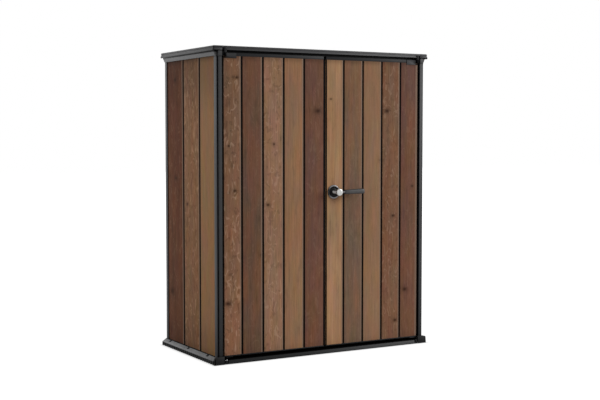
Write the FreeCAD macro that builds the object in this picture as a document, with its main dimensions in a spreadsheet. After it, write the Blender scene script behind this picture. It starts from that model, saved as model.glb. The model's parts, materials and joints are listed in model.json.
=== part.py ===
import FreeCAD, Part
import math
import os
import Sketcher

# Tall two-door garden storage cabinet, in millimetres.
# X runs along the front, Y from the front to the back, Z up from the ground.
# The origin lies on the ground, in the middle of the base.

Vector = FreeCAD.Vector
doc = FreeCAD.newDocument("garden_storage_cabinet")
sheet = doc.addObject("Spreadsheet::Sheet", "Sizes")


# Driving sizes

DRIVING = [
    # base
    ("base_wide", 1400), ("base_deep", 718), ("deck_tall", 38), ("lip_tall", 21), ("bevel_run", 24),
    ("sill_tall", 26), ("sill_deep", 74), ("rib_pitch", 26), ("rib_cut", 4), ("rib_first", 34),
    ("drain_wide", 12), ("drain_deep", 9), ("drain_first", 127), ("drain_pitch", 253.5),
    ("foot_deep", 14), ("foot_lip_tall", 6), ("foot_taper", 3), ("foot_shoulder", 4), ("foot_lip_run", 1),
    ("sole_recess", 4), ("sole_bar", 74), ("sole_rim", 74), ("rib_ledge", 2), ("edge_ease", 3), ("notch_sole", 6),
    # corner posts
    ("post_wide", 36), ("post_deep", 40), ("post_side_in", 23.5), ("post_front_in", 6),
    ("rear_post_deep", 28), ("rear_post_in", 9), ("corner_cut_wide", 9), ("corner_cut_deep", 17),
    ("corner_slot_deep", 24), ("corner_lip_wide", 2.5), ("corner_lip_back", 8), ("inner_step_wide", 3.5),
    ("inner_step_deep", 10), ("post_round", 5), ("cap_tall", 28), ("cap_gap", 4.5), ("cap_proud", 5),
    ("cap_socket", 12), ("cap_wall", 2), ("socket_fit", 0.3),
    # walls
    ("wall_thick", 20), ("wall_in", 28), ("back_in", 14), ("slot_deep", 8), ("slot_fit", 0.2),
    ("groove_wide", 9), ("groove_deep", 5), ("groove_ease", 1.5),
    ("side_plank_pitch", 218), ("side_plank_first", 196), ("back_plank_pitch", 213),
    ("ledge_deep", 12), ("ledge_tall", 14), ("ledge_first", 400), ("ledge_pitch", 400), ("ledge_inset", 70),
    ("strip_web", 3), ("strip_flange", 30), ("strip_skin", 3),
    # eaves and roof
    ("eave_tall", 1718.5), ("roof_tall", 22.5), ("roof_side_in", 1), ("roof_front_in", 1), ("roof_back_in", 1),
    ("bead_tall", 9.5), ("lip_proud", 2), ("low_lip_tall", 4), ("line_tall", 2), ("line_deep", 2),
    ("skirt_tall", 6.5), ("skirt_wide", 5), ("roof_skin", 6), ("roof_rib", 10),
    ("rim_side", 46), ("rim_front", 66), ("rim_back", 32), ("field_rise", 5), ("field_gap", 60),
    ("eave_strip_tall", 30), ("eave_strip_out", 15.5), ("eave_strip_edge", 6), ("eave_cove_out", 10.5),
    ("eave_cove_tall", 10), ("eave_nose_tall", 10), ("header_deep", 28), ("header_tall", 40.5), ("header_skin", 5),
    # doors
    ("door_face_in", 14), ("door_thick", 30), ("door_side_gap", 4), ("meeting_gap", 16.4),
    ("door_lift", 2), ("low_rail_tall", 6), ("door_head_gap", 13), ("top_rail_tall", 18),
    ("plank_pitch", 130), ("left_first_groove", 111.5), ("right_first_groove", 117),
    ("field_deep", 5), ("field_margin", 55), ("field_rib", 40),
    ("seal_gap", 3), ("seal_back", 10), ("seal_deep", 15),
    # hinges
    ("hinge_in", 72), ("hinge_front", 3), ("pin_radius", 3), ("pin_fit", 0.05), ("knuckle_radius", 6.5),
    ("knuckle_tall", 20), ("leaf_thick", 2.5), ("leaf_wide", 62), ("leaf_tall", 28.5), ("hinge_play", 2),
    ("notch_wide", 17), ("notch_deep", 12), ("rail_notch_deep", 22), ("bracket_wide", 10), ("bracket_room", 2),
    ("foot_plate_wide", 10), ("recess_wide", 12), ("low_leaf_wide", 41.25), ("washer_radius", 8.5), ("washer_thick", 2),
    # handle
    ("handle_in", 56.5), ("handle_high", 920), ("rose_radius", 39.5), ("rose_thick", 8), ("rose_rim", 6),
    ("rose_dish", 4), ("neck_radius", 12), ("neck_long", 32), ("hub_radius", 16), ("hub_long", 20),
    ("cap_radius", 20), ("cap_thick", 10), ("cap_ease", 1.5), ("grip_long", 130), ("grip_root", 24),
    ("grip_flare", 6.5), ("grip_thick", 22), ("grip_round", 8), ("grip_ease", 4), ("collar_radius", 8),
    ("collar_long", 28), ("spindle_radius", 5), ("inner_rose_radius", 26), ("inner_rose_thick", 6),
    ("tongue_long", 76), ("tongue_wide", 20), ("tongue_thick", 5), ("tongue_boss", 12), ("running_gap", 0.5),
    ("nut_radius", 9), ("nut_thick", 7), ("keeper_wide", 36), ("keeper_tall", 46),
    # slide bolts
    ("bolt_in", 40), ("bolt_back", 15), ("bolt_radius", 5), ("bolt_long", 150), ("bolt_travel", 30),
    ("bolt_gap", 10), ("guide_wide", 26), ("eye_wide", 20.8), ("eye_wall", 4), ("eye_tall", 12), ("eye_span", 88),
    ("eye_first", 12), ("guide_plate", 3), ("knob_radius", 4), ("knob_long", 18), ("knob_at", 75),
    ("bolt_hole_fit", 0.8),
]

# How often each pattern repeats
RIB_COUNT = 26
DRAIN_COUNT = 3
SIDE_GROOVE_COUNT = 3
BACK_GROOVE_COUNT = 2
DOOR_GROOVE_COUNT = 4
LEDGE_COUNT = 3
CELL_COUNT = 4
ROOF_FIELD_COUNT = 3
DOOR_FIELD_COUNT = 4
NUT_SIDE_COUNT = 6
# How far a cut runs on past the surface that it opens
CUT_PAST = 1


class Size:
    """A length with its value now and the sheet expression that it comes from."""

    def __init__(self, text, value):
        self.text = text
        self.value = float(value)

    def __add__(self, other):
        return join(self, "+", other)

    def __sub__(self, other):
        return join(self, "-", other)

    def __mul__(self, other):
        return join(self, "*", other)

    def __truediv__(self, other):
        return join(self, "/", other)

    def __radd__(self, other):
        return join(other, "+", self)

    def __rsub__(self, other):
        return join(other, "-", self)

    def __rmul__(self, other):
        return join(other, "*", self)

    def __neg__(self):
        return join(-1, "*", self)


def as_size(item):
    """The item itself, or a plain number written as a size."""
    return item if isinstance(item, Size) else Size(repr(float(item)), item)


def join(first, sign, second):
    """A new size from two others."""
    first, second = as_size(first), as_size(second)
    values = {
        "+": first.value + second.value,
        "-": first.value - second.value,
        "*": first.value * second.value,
        "/": first.value / second.value if second.value else 0.0,
    }
    return Size("(" + first.text + " " + sign + " " + second.text + ")", values[sign])


class Sizes:
    """The driving sizes by name."""


size = Sizes()
for row, (name, number) in enumerate(DRIVING, 1):
    cell = "A" + str(row)
    sheet.set(cell, str(number))
    sheet.setAlias(cell, name)
    setattr(size, name, Size("Sizes." + name, number))
doc.recompute()


# Places worked out from the driving sizes

zero = Size("0", 0)
half_wide = size.base_wide / 2
front_y = -(size.base_deep / 2)
back_y = size.base_deep / 2
roof_low = size.eave_tall - size.roof_tall
post_out = half_wide - size.post_side_in
post_inner = post_out - size.post_wide
post_front = front_y + size.post_front_in
post_back = post_front + size.post_deep
rear_post_back = back_y - size.rear_post_in
rear_post_front = rear_post_back - size.rear_post_deep
wall_face = half_wide - size.wall_in
wall_inner = wall_face - size.wall_thick
back_face = back_y - size.back_in
cap_low = roof_low - size.cap_gap - size.cap_tall
strip_low = roof_low - size.eave_strip_tall
header_low = roof_low - size.header_tall
header_front = post_back
door_face = front_y + size.door_face_in
door_back = door_face + size.door_thick
door_outer = post_inner - size.door_side_gap
door_inner = size.meeting_gap / 2
door_wide = door_outer - door_inner
door_low = size.deck_tall + size.door_lift
door_top = roof_low - size.door_head_gap
wood_low = door_low + size.low_rail_tall
wood_top = door_top - size.top_rail_tall
wood_tall = wood_top - wood_low
hinge_x = half_wide - size.hinge_in
hinge_y = front_y + size.hinge_front
bracket_seat = hinge_y + size.knuckle_radius + size.leaf_thick
bolt_x = -size.bolt_in
bolt_y = door_back + size.bolt_back
lower_bolt_low = size.deck_tall + size.eye_first
upper_bolt_low = header_low - size.bolt_gap - size.bolt_long
guide_tall = size.eye_span + size.eye_tall

PLANES = {"XY": "XY_Plane", "XZ": "XZ_Plane", "YZ": "YZ_Plane"}
# The world direction of each origin plane's normal, as a sign on the axis that the plane leaves out
NORMAL_SIGN = {"XY": 1, "XZ": -1, "YZ": 1}


# Modelling helpers

def new_body(label, x, y, z):
    """A body whose own origin lies at a place worked out from the sizes."""
    body = doc.addObject("PartDesign::Body", label)
    body.Label = label
    for axis, place in (("x", x), ("y", y), ("z", z)):
        body.setExpression(".Placement.Base." + axis, as_size(place).text)
    return body


def new_sketch(body, plane, lift=zero):
    """A sketch on one of the body's origin planes, lifted along the world axis square to it."""
    sketch = body.newObject("Sketcher::SketchObject", body.Label + "_sketch")
    role = PLANES[plane]
    support = [item for item in body.Origin.OriginFeatures if item.Role == role][0]
    sketch.AttachmentSupport = [(support, "")]
    sketch.MapMode = "FlatFace"
    lift = as_size(lift) * NORMAL_SIGN[plane]
    sketch.AttachmentOffset = FreeCAD.Placement(Vector(0, 0, lift.value), FreeCAD.Rotation())
    sketch.setExpression(".AttachmentOffset.Base.z", lift.text)
    return sketch


def hold_point(sketch, geometry, end, point):
    """Ties one end of a sketch edge, or a circle's centre, to a place."""
    for kind, place in (("DistanceX", point[0]), ("DistanceY", point[1])):
        place = as_size(place)
        index = sketch.addConstraint(Sketcher.Constraint(kind, -1, 1, geometry, end, place.value))
        label = "p" + str(index)
        sketch.renameConstraint(index, label)
        sketch.setExpression("Constraints." + label, place.text)


def add_outline(sketch, points):
    """A closed outline of straight edges through the points."""
    start = sketch.GeometryCount
    places = [(as_size(across).value, as_size(along).value) for across, along in points]
    for index, (across, along) in enumerate(places):
        after = places[(index + 1) % len(places)]
        edge = Part.LineSegment(Vector(across, along, 0), Vector(after[0], after[1], 0))
        sketch.addGeometry(edge, False)
    for index in range(len(points)):
        after = start + (index + 1) % len(points)
        sketch.addConstraint(Sketcher.Constraint("Coincident", start + index, 2, after, 1))
    for index, point in enumerate(points):
        hold_point(sketch, start + index, 1, point)
    return sketch


def add_circle(sketch, centre, radius):
    """A circle tied to its centre and radius."""
    radius = as_size(radius)
    spot = Vector(as_size(centre[0]).value, as_size(centre[1]).value, 0)
    index = sketch.addGeometry(Part.Circle(spot, Vector(0, 0, 1), radius.value), False)
    hold_point(sketch, index, 3, centre)
    rule = sketch.addConstraint(Sketcher.Constraint("Radius", index, radius.value))
    label = "p" + str(rule)
    sketch.renameConstraint(rule, label)
    sketch.setExpression("Constraints." + label, radius.text)
    return sketch


def box_points(low_across, high_across, low_along, high_along):
    """The four corners of a rectangle."""
    return [(low_across, low_along), (high_across, low_along), (high_across, high_along), (low_across, high_along)]


def pad(body, sketch, plane, length, towards=1):
    """Pads a sketch towards the positive or negative world axis."""
    feature = body.newObject("PartDesign::Pad", body.Label + "_pad")
    feature.Profile = sketch
    feature.setExpression("Length", as_size(length).text)
    feature.Reversed = towards != NORMAL_SIGN[plane]
    body.Tip = feature
    return feature


def pocket(body, sketch, plane, length, towards=1):
    """Cuts a sketch into the body towards the positive or negative world axis."""
    feature = body.newObject("PartDesign::Pocket", body.Label + "_pocket")
    feature.Profile = sketch
    feature.setExpression("Length", as_size(length).text)
    feature.Reversed = towards == NORMAL_SIGN[plane]
    body.Tip = feature
    return feature


def pattern(body, features, sketch, axis, pitch, count, reverse=False):
    """Repeats features along one of the sketch's own axes."""
    feature = body.newObject("PartDesign::LinearPattern", body.Label + "_pattern")
    feature.Originals = features
    feature.Direction = (sketch, [axis])
    feature.Reversed = reverse
    feature.setExpression("Length", (as_size(pitch) * (count - 1)).text)
    feature.Occurrences = count
    body.Tip = feature
    return feature


def soften(body, radius, wanted, kind="Fillet"):
    """Rounds or chamfers the edges that a test picks out."""
    doc.recompute()
    base = body.Tip
    names = []
    for index, edge in enumerate(base.Shape.Edges, 1):
        if wanted(edge):
            names.append("Edge" + str(index))
    feature = body.newObject("PartDesign::" + kind, body.Label + "_" + kind.lower())
    feature.Base = (base, names)
    feature.setExpression("Radius" if kind == "Fillet" else "Size", as_size(radius).text)
    body.Tip = feature
    return feature


def block(label, x_range, y_range, z_range):
    """A plain block body between three pairs of places, with its origin at its low corner."""
    body = new_body(label, x_range[0], y_range[0], z_range[0])
    sketch = new_sketch(body, "XY")
    add_outline(sketch, box_points(zero, x_range[1] - x_range[0], zero, y_range[1] - y_range[0]))
    pad(body, sketch, "XY", z_range[1] - z_range[0])
    return body


def sided(side, near, far):
    """A pair of X places in rising order, from distances out from the middle on one side."""
    return (side * near, side * far) if side > 0 else (side * far, side * near)


def turned(label, place, profile):
    """A body of revolution about the Y axis through a place, from a profile of radius and Y."""
    body = new_body(label, *place)
    sketch = new_sketch(body, "XY")
    add_outline(sketch, profile)
    feature = body.newObject("PartDesign::Revolution", label + "_turn")
    feature.Profile = sketch
    feature.ReferenceAxis = (sketch, ["V_Axis"])
    feature.Angle = 360
    body.Tip = feature
    return body


def upright(edge):
    """True for a straight edge along Z."""
    start, end = edge.Vertexes[0].Point, edge.Vertexes[-1].Point
    return abs(start.x - end.x) < 0.01 and abs(start.y - end.y) < 0.01 and abs(start.z - end.z) > 1


def at_place(edge, axis, place):
    """True when the edge's middle lies at a place along one axis."""
    return abs(getattr(edge.CenterOfMass, axis) - as_size(place).value) < 0.01


# Base

def make_floor_panel():
    """The moulded base: side bevels, ribbed lips, a low sill in front and a recessed sole."""
    body = new_body("floor_panel", zero, front_y, zero)
    half, inner = half_wide, half_wide - size.bevel_run
    section = new_sketch(body, "XZ", size.foot_deep)
    add_outline(section, [
        (-half, zero), (half, zero), (half, size.lip_tall), (inner, size.deck_tall),
        (-inner, size.deck_tall), (-half, size.lip_tall),
    ])
    pad(body, section, "XZ", size.base_deep - size.foot_deep)
    sill = new_sketch(body, "XY")
    add_outline(sill, box_points(-post_inner, post_inner, zero, size.foot_deep))
    pad(body, sill, "XY", size.sill_tall)
    step = new_sketch(body, "XY", size.sill_tall)
    add_outline(step, box_points(-post_inner, post_inner, zero, size.sill_deep))
    pocket(body, step, "XY", size.deck_tall - size.sill_tall)
    soften(body, size.edge_ease, sill_edge, "Chamfer")
    for side in (-1, 1):
        cut_skirt(body, side)
        recess = new_sketch(body, "XY", size.notch_sole)
        low, high = sided(side, hinge_x - size.recess_wide, post_inner)
        add_outline(recess, box_points(low, high, zero, size.notch_deep))
        pocket(body, recess, "XY", size.sill_tall)
    hole = new_sketch(body, "XY", lower_bolt_low - size.bolt_travel - size.bolt_gap)
    add_circle(hole, (bolt_x, bolt_y - front_y), size.bolt_radius + size.bolt_hole_fit)
    pocket(body, hole, "XY", size.deck_tall)
    cut_sole(body)
    return body


def sill_edge(edge):
    """True for the long front edges of the sill, at its top and at the ground."""
    at_level = at_place(edge, "z", size.sill_tall) or at_place(edge, "z", zero)
    return at_place(edge, "y", zero) and at_level


def cut_skirt(body, side):
    """The fine upright ribs of one side lip and the drain notches of its bevel."""
    ribs = new_sketch(body, "XY")
    low, high = sided(side, half_wide - size.rib_cut, half_wide + CUT_PAST)
    add_outline(ribs, box_points(low, high, size.rib_first, size.rib_first + size.rib_pitch / 2))
    groove = pocket(body, ribs, "XY", size.lip_tall - size.rib_ledge)
    pattern(body, [groove], ribs, "V_Axis", size.rib_pitch, RIB_COUNT)
    drains = new_sketch(body, "XY", size.deck_tall - size.drain_deep)
    low, high = sided(side, wall_face + size.cap_wall, half_wide + CUT_PAST)
    add_outline(drains, box_points(low, high, size.drain_first, size.drain_first + size.drain_wide))
    drain = pocket(body, drains, "XY", size.drain_deep + CUT_PAST)
    pattern(body, [drain], drains, "V_Axis", size.drain_pitch, DRAIN_COUNT)


def cut_sole(body):
    """Two shallow recesses under the base, which leave a rim and a middle bar to stand on."""
    rim = size.sole_rim
    for side in (-1, 1):
        sole = new_sketch(body, "XY")
        low, high = sided(side, size.sole_bar / 2, half_wide - rim)
        add_outline(sole, box_points(low, high, rim, size.base_deep - rim))
        pocket(body, sole, "XY", size.sole_recess)


def make_foot(label, side):
    """The shoe under one front corner post, with its flared outer end and a lip round the post."""
    body = new_body(label, side * post_inner, front_y, zero)
    reach = half_wide - post_inner
    width = size.post_wide
    top = size.deck_tall + size.foot_lip_tall
    taper, shoulder = size.foot_taper, size.foot_shoulder / 2
    shape = new_sketch(body, "XZ")
    add_outline(shape, [
        (zero, zero), (side * reach, zero), (side * (reach - taper), size.deck_tall - shoulder),
        (side * (reach - taper * 2), size.deck_tall + shoulder), (side * (width + size.foot_lip_run), top),
        (zero, top),
    ])
    pad(body, shape, "XZ", size.foot_deep)
    seat = new_sketch(body, "XY", size.deck_tall)
    low, high = sided(side, -CUT_PAST, width + size.socket_fit)
    back = size.foot_deep + CUT_PAST
    add_outline(seat, box_points(low, high, size.post_front_in - size.socket_fit, back))
    pocket(body, seat, "XY", size.foot_lip_tall + CUT_PAST)
    return body


# Corner posts and their heads

def post_section(side, deep, slot_from):
    """The outline of a post from its outer side inwards, with the slot that holds a side wall."""
    slot_low = size.wall_in - size.post_side_in - size.slot_fit
    slot_high = slot_low + size.wall_thick + size.slot_fit * 2
    return [
        (-side * size.post_wide, deep), (-side * slot_high, deep), (-side * slot_high, slot_from),
        (-side * slot_low, slot_from), (-side * slot_low, deep), (zero, deep),
    ]


def clear_for_eave(body, side, start, stop):
    """Cuts back the outer side of a post, above the eave strip's lower edge."""
    cut = new_sketch(body, "XY", strip_low - size.deck_tall)
    low, high = sided(-side, -CUT_PAST, size.wall_in - size.post_side_in)
    add_outline(cut, box_points(low, high, start, stop))
    pocket(body, cut, "XY", size.eave_strip_tall + CUT_PAST)


def make_front_post(label, side):
    """A front corner post: a proud front bead between a dark slot and a step, and a slot for the side wall."""
    body = new_body(label, side * post_out, post_front, size.deck_tall)
    section = new_sketch(body, "XY")
    points = post_section(side, size.post_deep, size.post_deep - size.slot_deep)
    lip, slot, bead = size.corner_lip_wide, size.corner_slot_deep, size.post_wide - size.inner_step_wide
    points += [
        (zero, size.corner_lip_back), (-side * lip, size.corner_lip_back), (-side * lip, slot),
        (-side * size.corner_cut_wide, slot), (-side * size.corner_cut_wide, zero), (-side * bead, zero),
        (-side * bead, size.inner_step_deep), (-side * size.post_wide, size.inner_step_deep),
    ]
    add_outline(section, points)
    pad(body, section, "XY", roof_low - size.deck_tall)
    soften(body, size.post_round, lambda edge: upright(edge) and at_place(edge, "y", zero))
    head = new_sketch(body, "XY", cap_low + size.cap_socket - size.deck_tall)
    low, high = sided(-side, -CUT_PAST, size.post_wide + CUT_PAST)
    add_outline(head, box_points(low, high, -size.cap_proud, size.corner_cut_deep))
    pocket(body, head, "XY", size.cap_tall)
    clear_for_eave(body, side, size.corner_lip_back - CUT_PAST, size.post_deep + CUT_PAST)
    return body


def make_rear_post(label, side):
    """A rear corner post, with a slot for the side wall and one for the back."""
    body = new_body(label, side * post_out, rear_post_back, size.deck_tall)
    section = new_sketch(body, "XY")
    deep = -size.rear_post_deep
    slot_low = -(rear_post_back - back_face - size.slot_fit)
    slot_high = slot_low - size.wall_thick - size.slot_fit * 2
    slot_in = size.post_wide - size.slot_deep
    points = post_section(side, deep, deep + size.slot_deep)
    points += [
        (zero, zero), (-side * size.post_wide, zero), (-side * size.post_wide, slot_low),
        (-side * slot_in, slot_low), (-side * slot_in, slot_high), (-side * size.post_wide, slot_high),
    ]
    add_outline(section, points)
    pad(body, section, "XY", roof_low - size.deck_tall)
    soften(body, size.post_round, outer_corner)
    clear_for_eave(body, side, deep - CUT_PAST, CUT_PAST)
    return body


def outer_corner(edge):
    """True for the upright edge at the body's own origin."""
    return upright(edge) and at_place(edge, "x", zero) and at_place(edge, "y", zero)


def make_post_cap(label, side):
    """The head of a front post: a proud block whose socket takes the post's front bead."""
    body = new_body(label, side * post_out, post_front, cap_low)
    outer = size.corner_cut_wide - size.cap_wall * 2
    inner = size.post_wide + size.cap_wall
    shape = new_sketch(body, "XY")
    low, high = sided(-side, outer, inner)
    add_outline(shape, box_points(low, high, -size.cap_proud, size.corner_cut_deep - size.socket_fit))
    pad(body, shape, "XY", size.cap_tall)
    soften(body, size.edge_ease, lambda edge: upright(edge) and at_place(edge, "y", -size.cap_proud))
    socket = new_sketch(body, "XY")
    fit = size.socket_fit
    low, high = sided(-side, size.corner_cut_wide - fit, size.post_wide + fit)
    add_outline(socket, box_points(low, high, -fit, size.corner_cut_deep + CUT_PAST))
    pocket(body, socket, "XY", size.cap_socket + fit)
    return body


# Walls

def groove_outline(size_middle, sign):
    """One plank groove, eased at its edges: pairs of place along the panel and depth into it."""
    half, ease, deep = size.groove_wide / 2, size.groove_ease, size.groove_deep
    steps = [
        (-half - ease, zero), (-half, ease), (-half, deep), (half, deep), (half, ease), (half + ease, zero),
    ]
    return [(size_middle + along, sign * depth) for along, depth in steps]


def make_side_wall(label, side):
    """A side wall with its outer planks, and shelf ledges moulded on its inner face."""
    front = post_back - size.slot_deep + size.slot_fit
    back = rear_post_front + size.slot_deep - size.slot_fit
    tall = roof_low - size.deck_tall
    body = new_body(label, side * wall_face, front, size.deck_tall)
    shape = new_sketch(body, "XY")
    low, high = sided(-side, zero, size.wall_thick)
    add_outline(shape, box_points(low, high, zero, back - front))
    pad(body, shape, "XY", tall)
    sketch = new_sketch(body, "XY")
    points = groove_outline(size.side_plank_first + size.slot_deep, -side)
    add_outline(sketch, [(depth, along) for along, depth in points])
    groove = pocket(body, sketch, "XY", tall)
    pattern(body, [groove], sketch, "V_Axis", size.side_plank_pitch, SIDE_GROOVE_COUNT)
    ledge = new_sketch(body, "XZ", size.ledge_inset)
    root, tip = -side * size.wall_thick, -side * (size.wall_thick + size.ledge_deep)
    ledge_top = size.ledge_first + size.ledge_tall
    add_outline(ledge, [
        (root, size.ledge_first - size.ledge_deep), (root, ledge_top), (tip, ledge_top), (tip, size.ledge_first),
    ])
    rib = pad(body, ledge, "XZ", back - front - size.ledge_inset * 2)
    pattern(body, [rib], ledge, "V_Axis", size.ledge_pitch, LEDGE_COUNT)
    return body


def make_back_wall(label, side):
    """Half of the back, with its outer planks."""
    near = size.strip_web / 2 + size.slot_fit
    far = post_inner + size.slot_deep - size.slot_fit
    tall = roof_low - size.deck_tall
    body = new_body(label, side * near, back_face, size.deck_tall)
    shape = new_sketch(body, "XY")
    low, high = sided(side, zero, far - near)
    add_outline(shape, box_points(low, high, -size.wall_thick, zero))
    pad(body, shape, "XY", tall)
    sketch = new_sketch(body, "XY")
    add_outline(sketch, groove_outline(side * (size.back_plank_pitch - near), -1))
    groove = pocket(body, sketch, "XY", tall)
    pattern(body, [groove], sketch, "H_Axis", size.back_plank_pitch, BACK_GROOVE_COUNT, side < 0)
    return body


def make_back_joint_strip():
    """The upright H-shaped strip that joins the two halves of the back."""
    gap = size.slot_fit
    skin = size.strip_skin
    body = new_body("back_joint_strip", zero, back_face + gap + skin, size.deck_tall)
    web, flange = size.strip_web / 2, size.strip_flange / 2
    deep = size.wall_thick + gap * 2 + skin * 2
    shape = new_sketch(body, "XY")
    add_outline(shape, [
        (-flange, -deep), (flange, -deep), (flange, -deep + skin), (web, -deep + skin), (web, -skin),
        (flange, -skin), (flange, zero), (-flange, zero), (-flange, -skin), (-web, -skin),
        (-web, -deep + skin), (-flange, -deep + skin),
    ])
    pad(body, shape, "XY", roof_low - size.deck_tall)
    return body


# Eaves, header and roof

def make_eave_strip(label, side):
    """The coved strip between a side wall and the roof's overhang."""
    start = post_front + size.corner_lip_back
    body = new_body(label, side * (wall_face + size.slot_fit), start, strip_low)
    top, out = size.eave_strip_tall, side * size.eave_strip_out
    shape = new_sketch(body, "XZ")
    add_outline(shape, [
        (zero, zero), (side * size.eave_strip_edge, zero), (side * size.eave_cove_out, size.eave_cove_tall),
        (out, top - size.eave_nose_tall), (out, top), (zero, top),
    ])
    pad(body, shape, "XZ", rear_post_back - start)
    return body


def make_header_beam():
    """The cross rail over the doors: a channel, open to the back, with a hole for the upper bolt."""
    half = wall_inner - size.slot_fit
    body = new_body("header_beam", -half, header_front + size.slot_fit, header_low)
    deep, tall, skin = size.header_deep, size.header_tall, size.header_skin
    shape = new_sketch(body, "YZ")
    add_outline(shape, [
        (zero, zero), (deep, zero), (deep, skin), (skin, skin), (skin, tall - skin), (deep, tall - skin),
        (deep, tall), (zero, tall),
    ])
    pad(body, shape, "YZ", half * 2)
    hole = new_sketch(body, "XY")
    place = (bolt_x + half, bolt_y - header_front - size.slot_fit)
    add_circle(hole, place, size.bolt_radius + size.bolt_hole_fit)
    pocket(body, hole, "XY", skin * 2)
    return body


def make_roof_panel():
    """The roof: a lined edge over a low lip, side skirts, raised top fields and a ribbed underside."""
    wide = half_wide - size.roof_side_in
    deep = size.base_deep - size.roof_front_in - size.roof_back_in
    body = new_body("roof_panel", zero, front_y + size.roof_front_in, roof_low)
    bead_low = size.roof_tall - size.bead_tall
    layers = [
        (size.lip_proud + size.line_deep, zero, size.roof_tall), (zero, zero, size.low_lip_tall),
        (size.lip_proud, zero, bead_low - size.line_tall), (size.lip_proud, bead_low, size.bead_tall),
    ]
    for inset, low, tall in layers:
        layer = new_sketch(body, "XY", low)
        add_outline(layer, box_points(-wide + inset, wide - inset, inset, deep - inset))
        pad(body, layer, "XY", tall)
    soften(body, size.edge_ease, lambda edge: at_place(edge, "z", size.roof_tall), "Chamfer")
    for side in (-1, 1):
        skirt = new_sketch(body, "XY")
        low, high = sided(side, wide - size.skirt_wide, wide)
        add_outline(skirt, box_points(low, high, zero, deep))
        pad(body, skirt, "XY", size.skirt_tall, -1)
        notch = new_sketch(body, "XY")
        room = size.knuckle_radius + size.bracket_room
        low, high = sided(side, hinge_x - room, hinge_x + room + size.bracket_wide)
        add_outline(notch, box_points(low, high, -CUT_PAST, bracket_seat - front_y - size.roof_front_in))
        pocket(body, notch, "XY", bead_low)
    cells_wide = (wide - size.lip_proud - size.rim_side) * 2
    cells_deep = deep - size.rim_front - size.rim_back
    pitch = (cells_wide + size.roof_rib) / CELL_COUNT
    cell = new_sketch(body, "XY")
    add_outline(cell, box_points(
        -cells_wide / 2, -cells_wide / 2 + pitch - size.roof_rib, size.rim_front, size.rim_front + cells_deep,
    ))
    hollow = pocket(body, cell, "XY", size.roof_tall - size.roof_skin)
    pattern(body, [hollow], cell, "H_Axis", pitch, CELL_COUNT)
    field_wide = (wide * 2 - size.field_gap * (ROOF_FIELD_COUNT + 1)) / ROOF_FIELD_COUNT
    field = new_sketch(body, "XY", size.roof_tall)
    add_outline(field, box_points(
        -wide + size.field_gap, -wide + size.field_gap + field_wide, size.field_gap, deep - size.field_gap,
    ))
    raised = pad(body, field, "XY", size.field_rise)
    raised.TaperAngle = -45
    pattern(body, [raised], field, "H_Axis", field_wide + size.field_gap, ROOF_FIELD_COUNT)
    return body


# Doors

def door_span(side):
    """The low and high X of a door's planks."""
    return sided(side, door_inner, door_outer)


def make_door_panel(label, side, first_groove):
    """A door's plank panel, with stiffening fields pressed into its back."""
    low, high = door_span(side)
    body = new_body(label, low, door_face, wood_low)
    wide = high - low
    shape = new_sketch(body, "XY")
    add_outline(shape, box_points(zero, wide, zero, size.door_thick))
    pad(body, shape, "XY", wood_tall)
    sketch = new_sketch(body, "XY")
    add_outline(sketch, groove_outline(first_groove, 1))
    groove = pocket(body, sketch, "XY", wood_tall)
    pattern(body, [groove], sketch, "H_Axis", size.plank_pitch, DOOR_GROOVE_COUNT)
    margin = size.field_margin
    field_pitch = (wood_tall - margin * 2 + size.field_rib) / DOOR_FIELD_COUNT
    field = new_sketch(body, "XZ", size.door_thick - size.field_deep)
    near, far = margin * 2, wide - margin
    if side < 0:
        near, far = margin, wide - margin * 2
    add_outline(field, box_points(near, far, margin, margin + field_pitch - size.field_rib))
    pressed = pocket(body, field, "XZ", size.field_deep + CUT_PAST)
    pattern(body, [pressed], field, "V_Axis", field_pitch, DOOR_FIELD_COUNT)
    if side > 0:
        hole = new_sketch(body, "XZ")
        add_circle(hole, (size.handle_in - low, size.handle_high - wood_low), size.spindle_radius + size.pin_fit)
        pocket(body, hole, "XZ", size.door_thick)
    return body


def make_door_rail(label, side, low_z, tall, notched):
    """The dark rail across a door's top or bottom edge; the upper one is notched at its hinge."""
    low, high = door_span(side)
    body = new_body(label, low, door_face, low_z)
    shape = new_sketch(body, "XY")
    add_outline(shape, box_points(zero, high - low, zero, size.door_thick))
    pad(body, shape, "XY", tall)
    if notched:
        notch = new_sketch(body, "XY")
        wide = high - low
        near, far = (wide - size.notch_wide, wide + CUT_PAST) if side > 0 else (-CUT_PAST, size.notch_wide)
        add_outline(notch, box_points(near, far, -CUT_PAST, size.rail_notch_deep))
        pocket(body, notch, "XY", tall)
    return body


def make_edge_seal(label, side):
    """The dark strip set back along a door's meeting edge."""
    low, high = sided(side, size.seal_gap / 2, door_inner)
    back = door_face + size.seal_back
    return block(label, (low, high), (back, back + size.seal_deep), (wood_low, wood_top))


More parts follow.
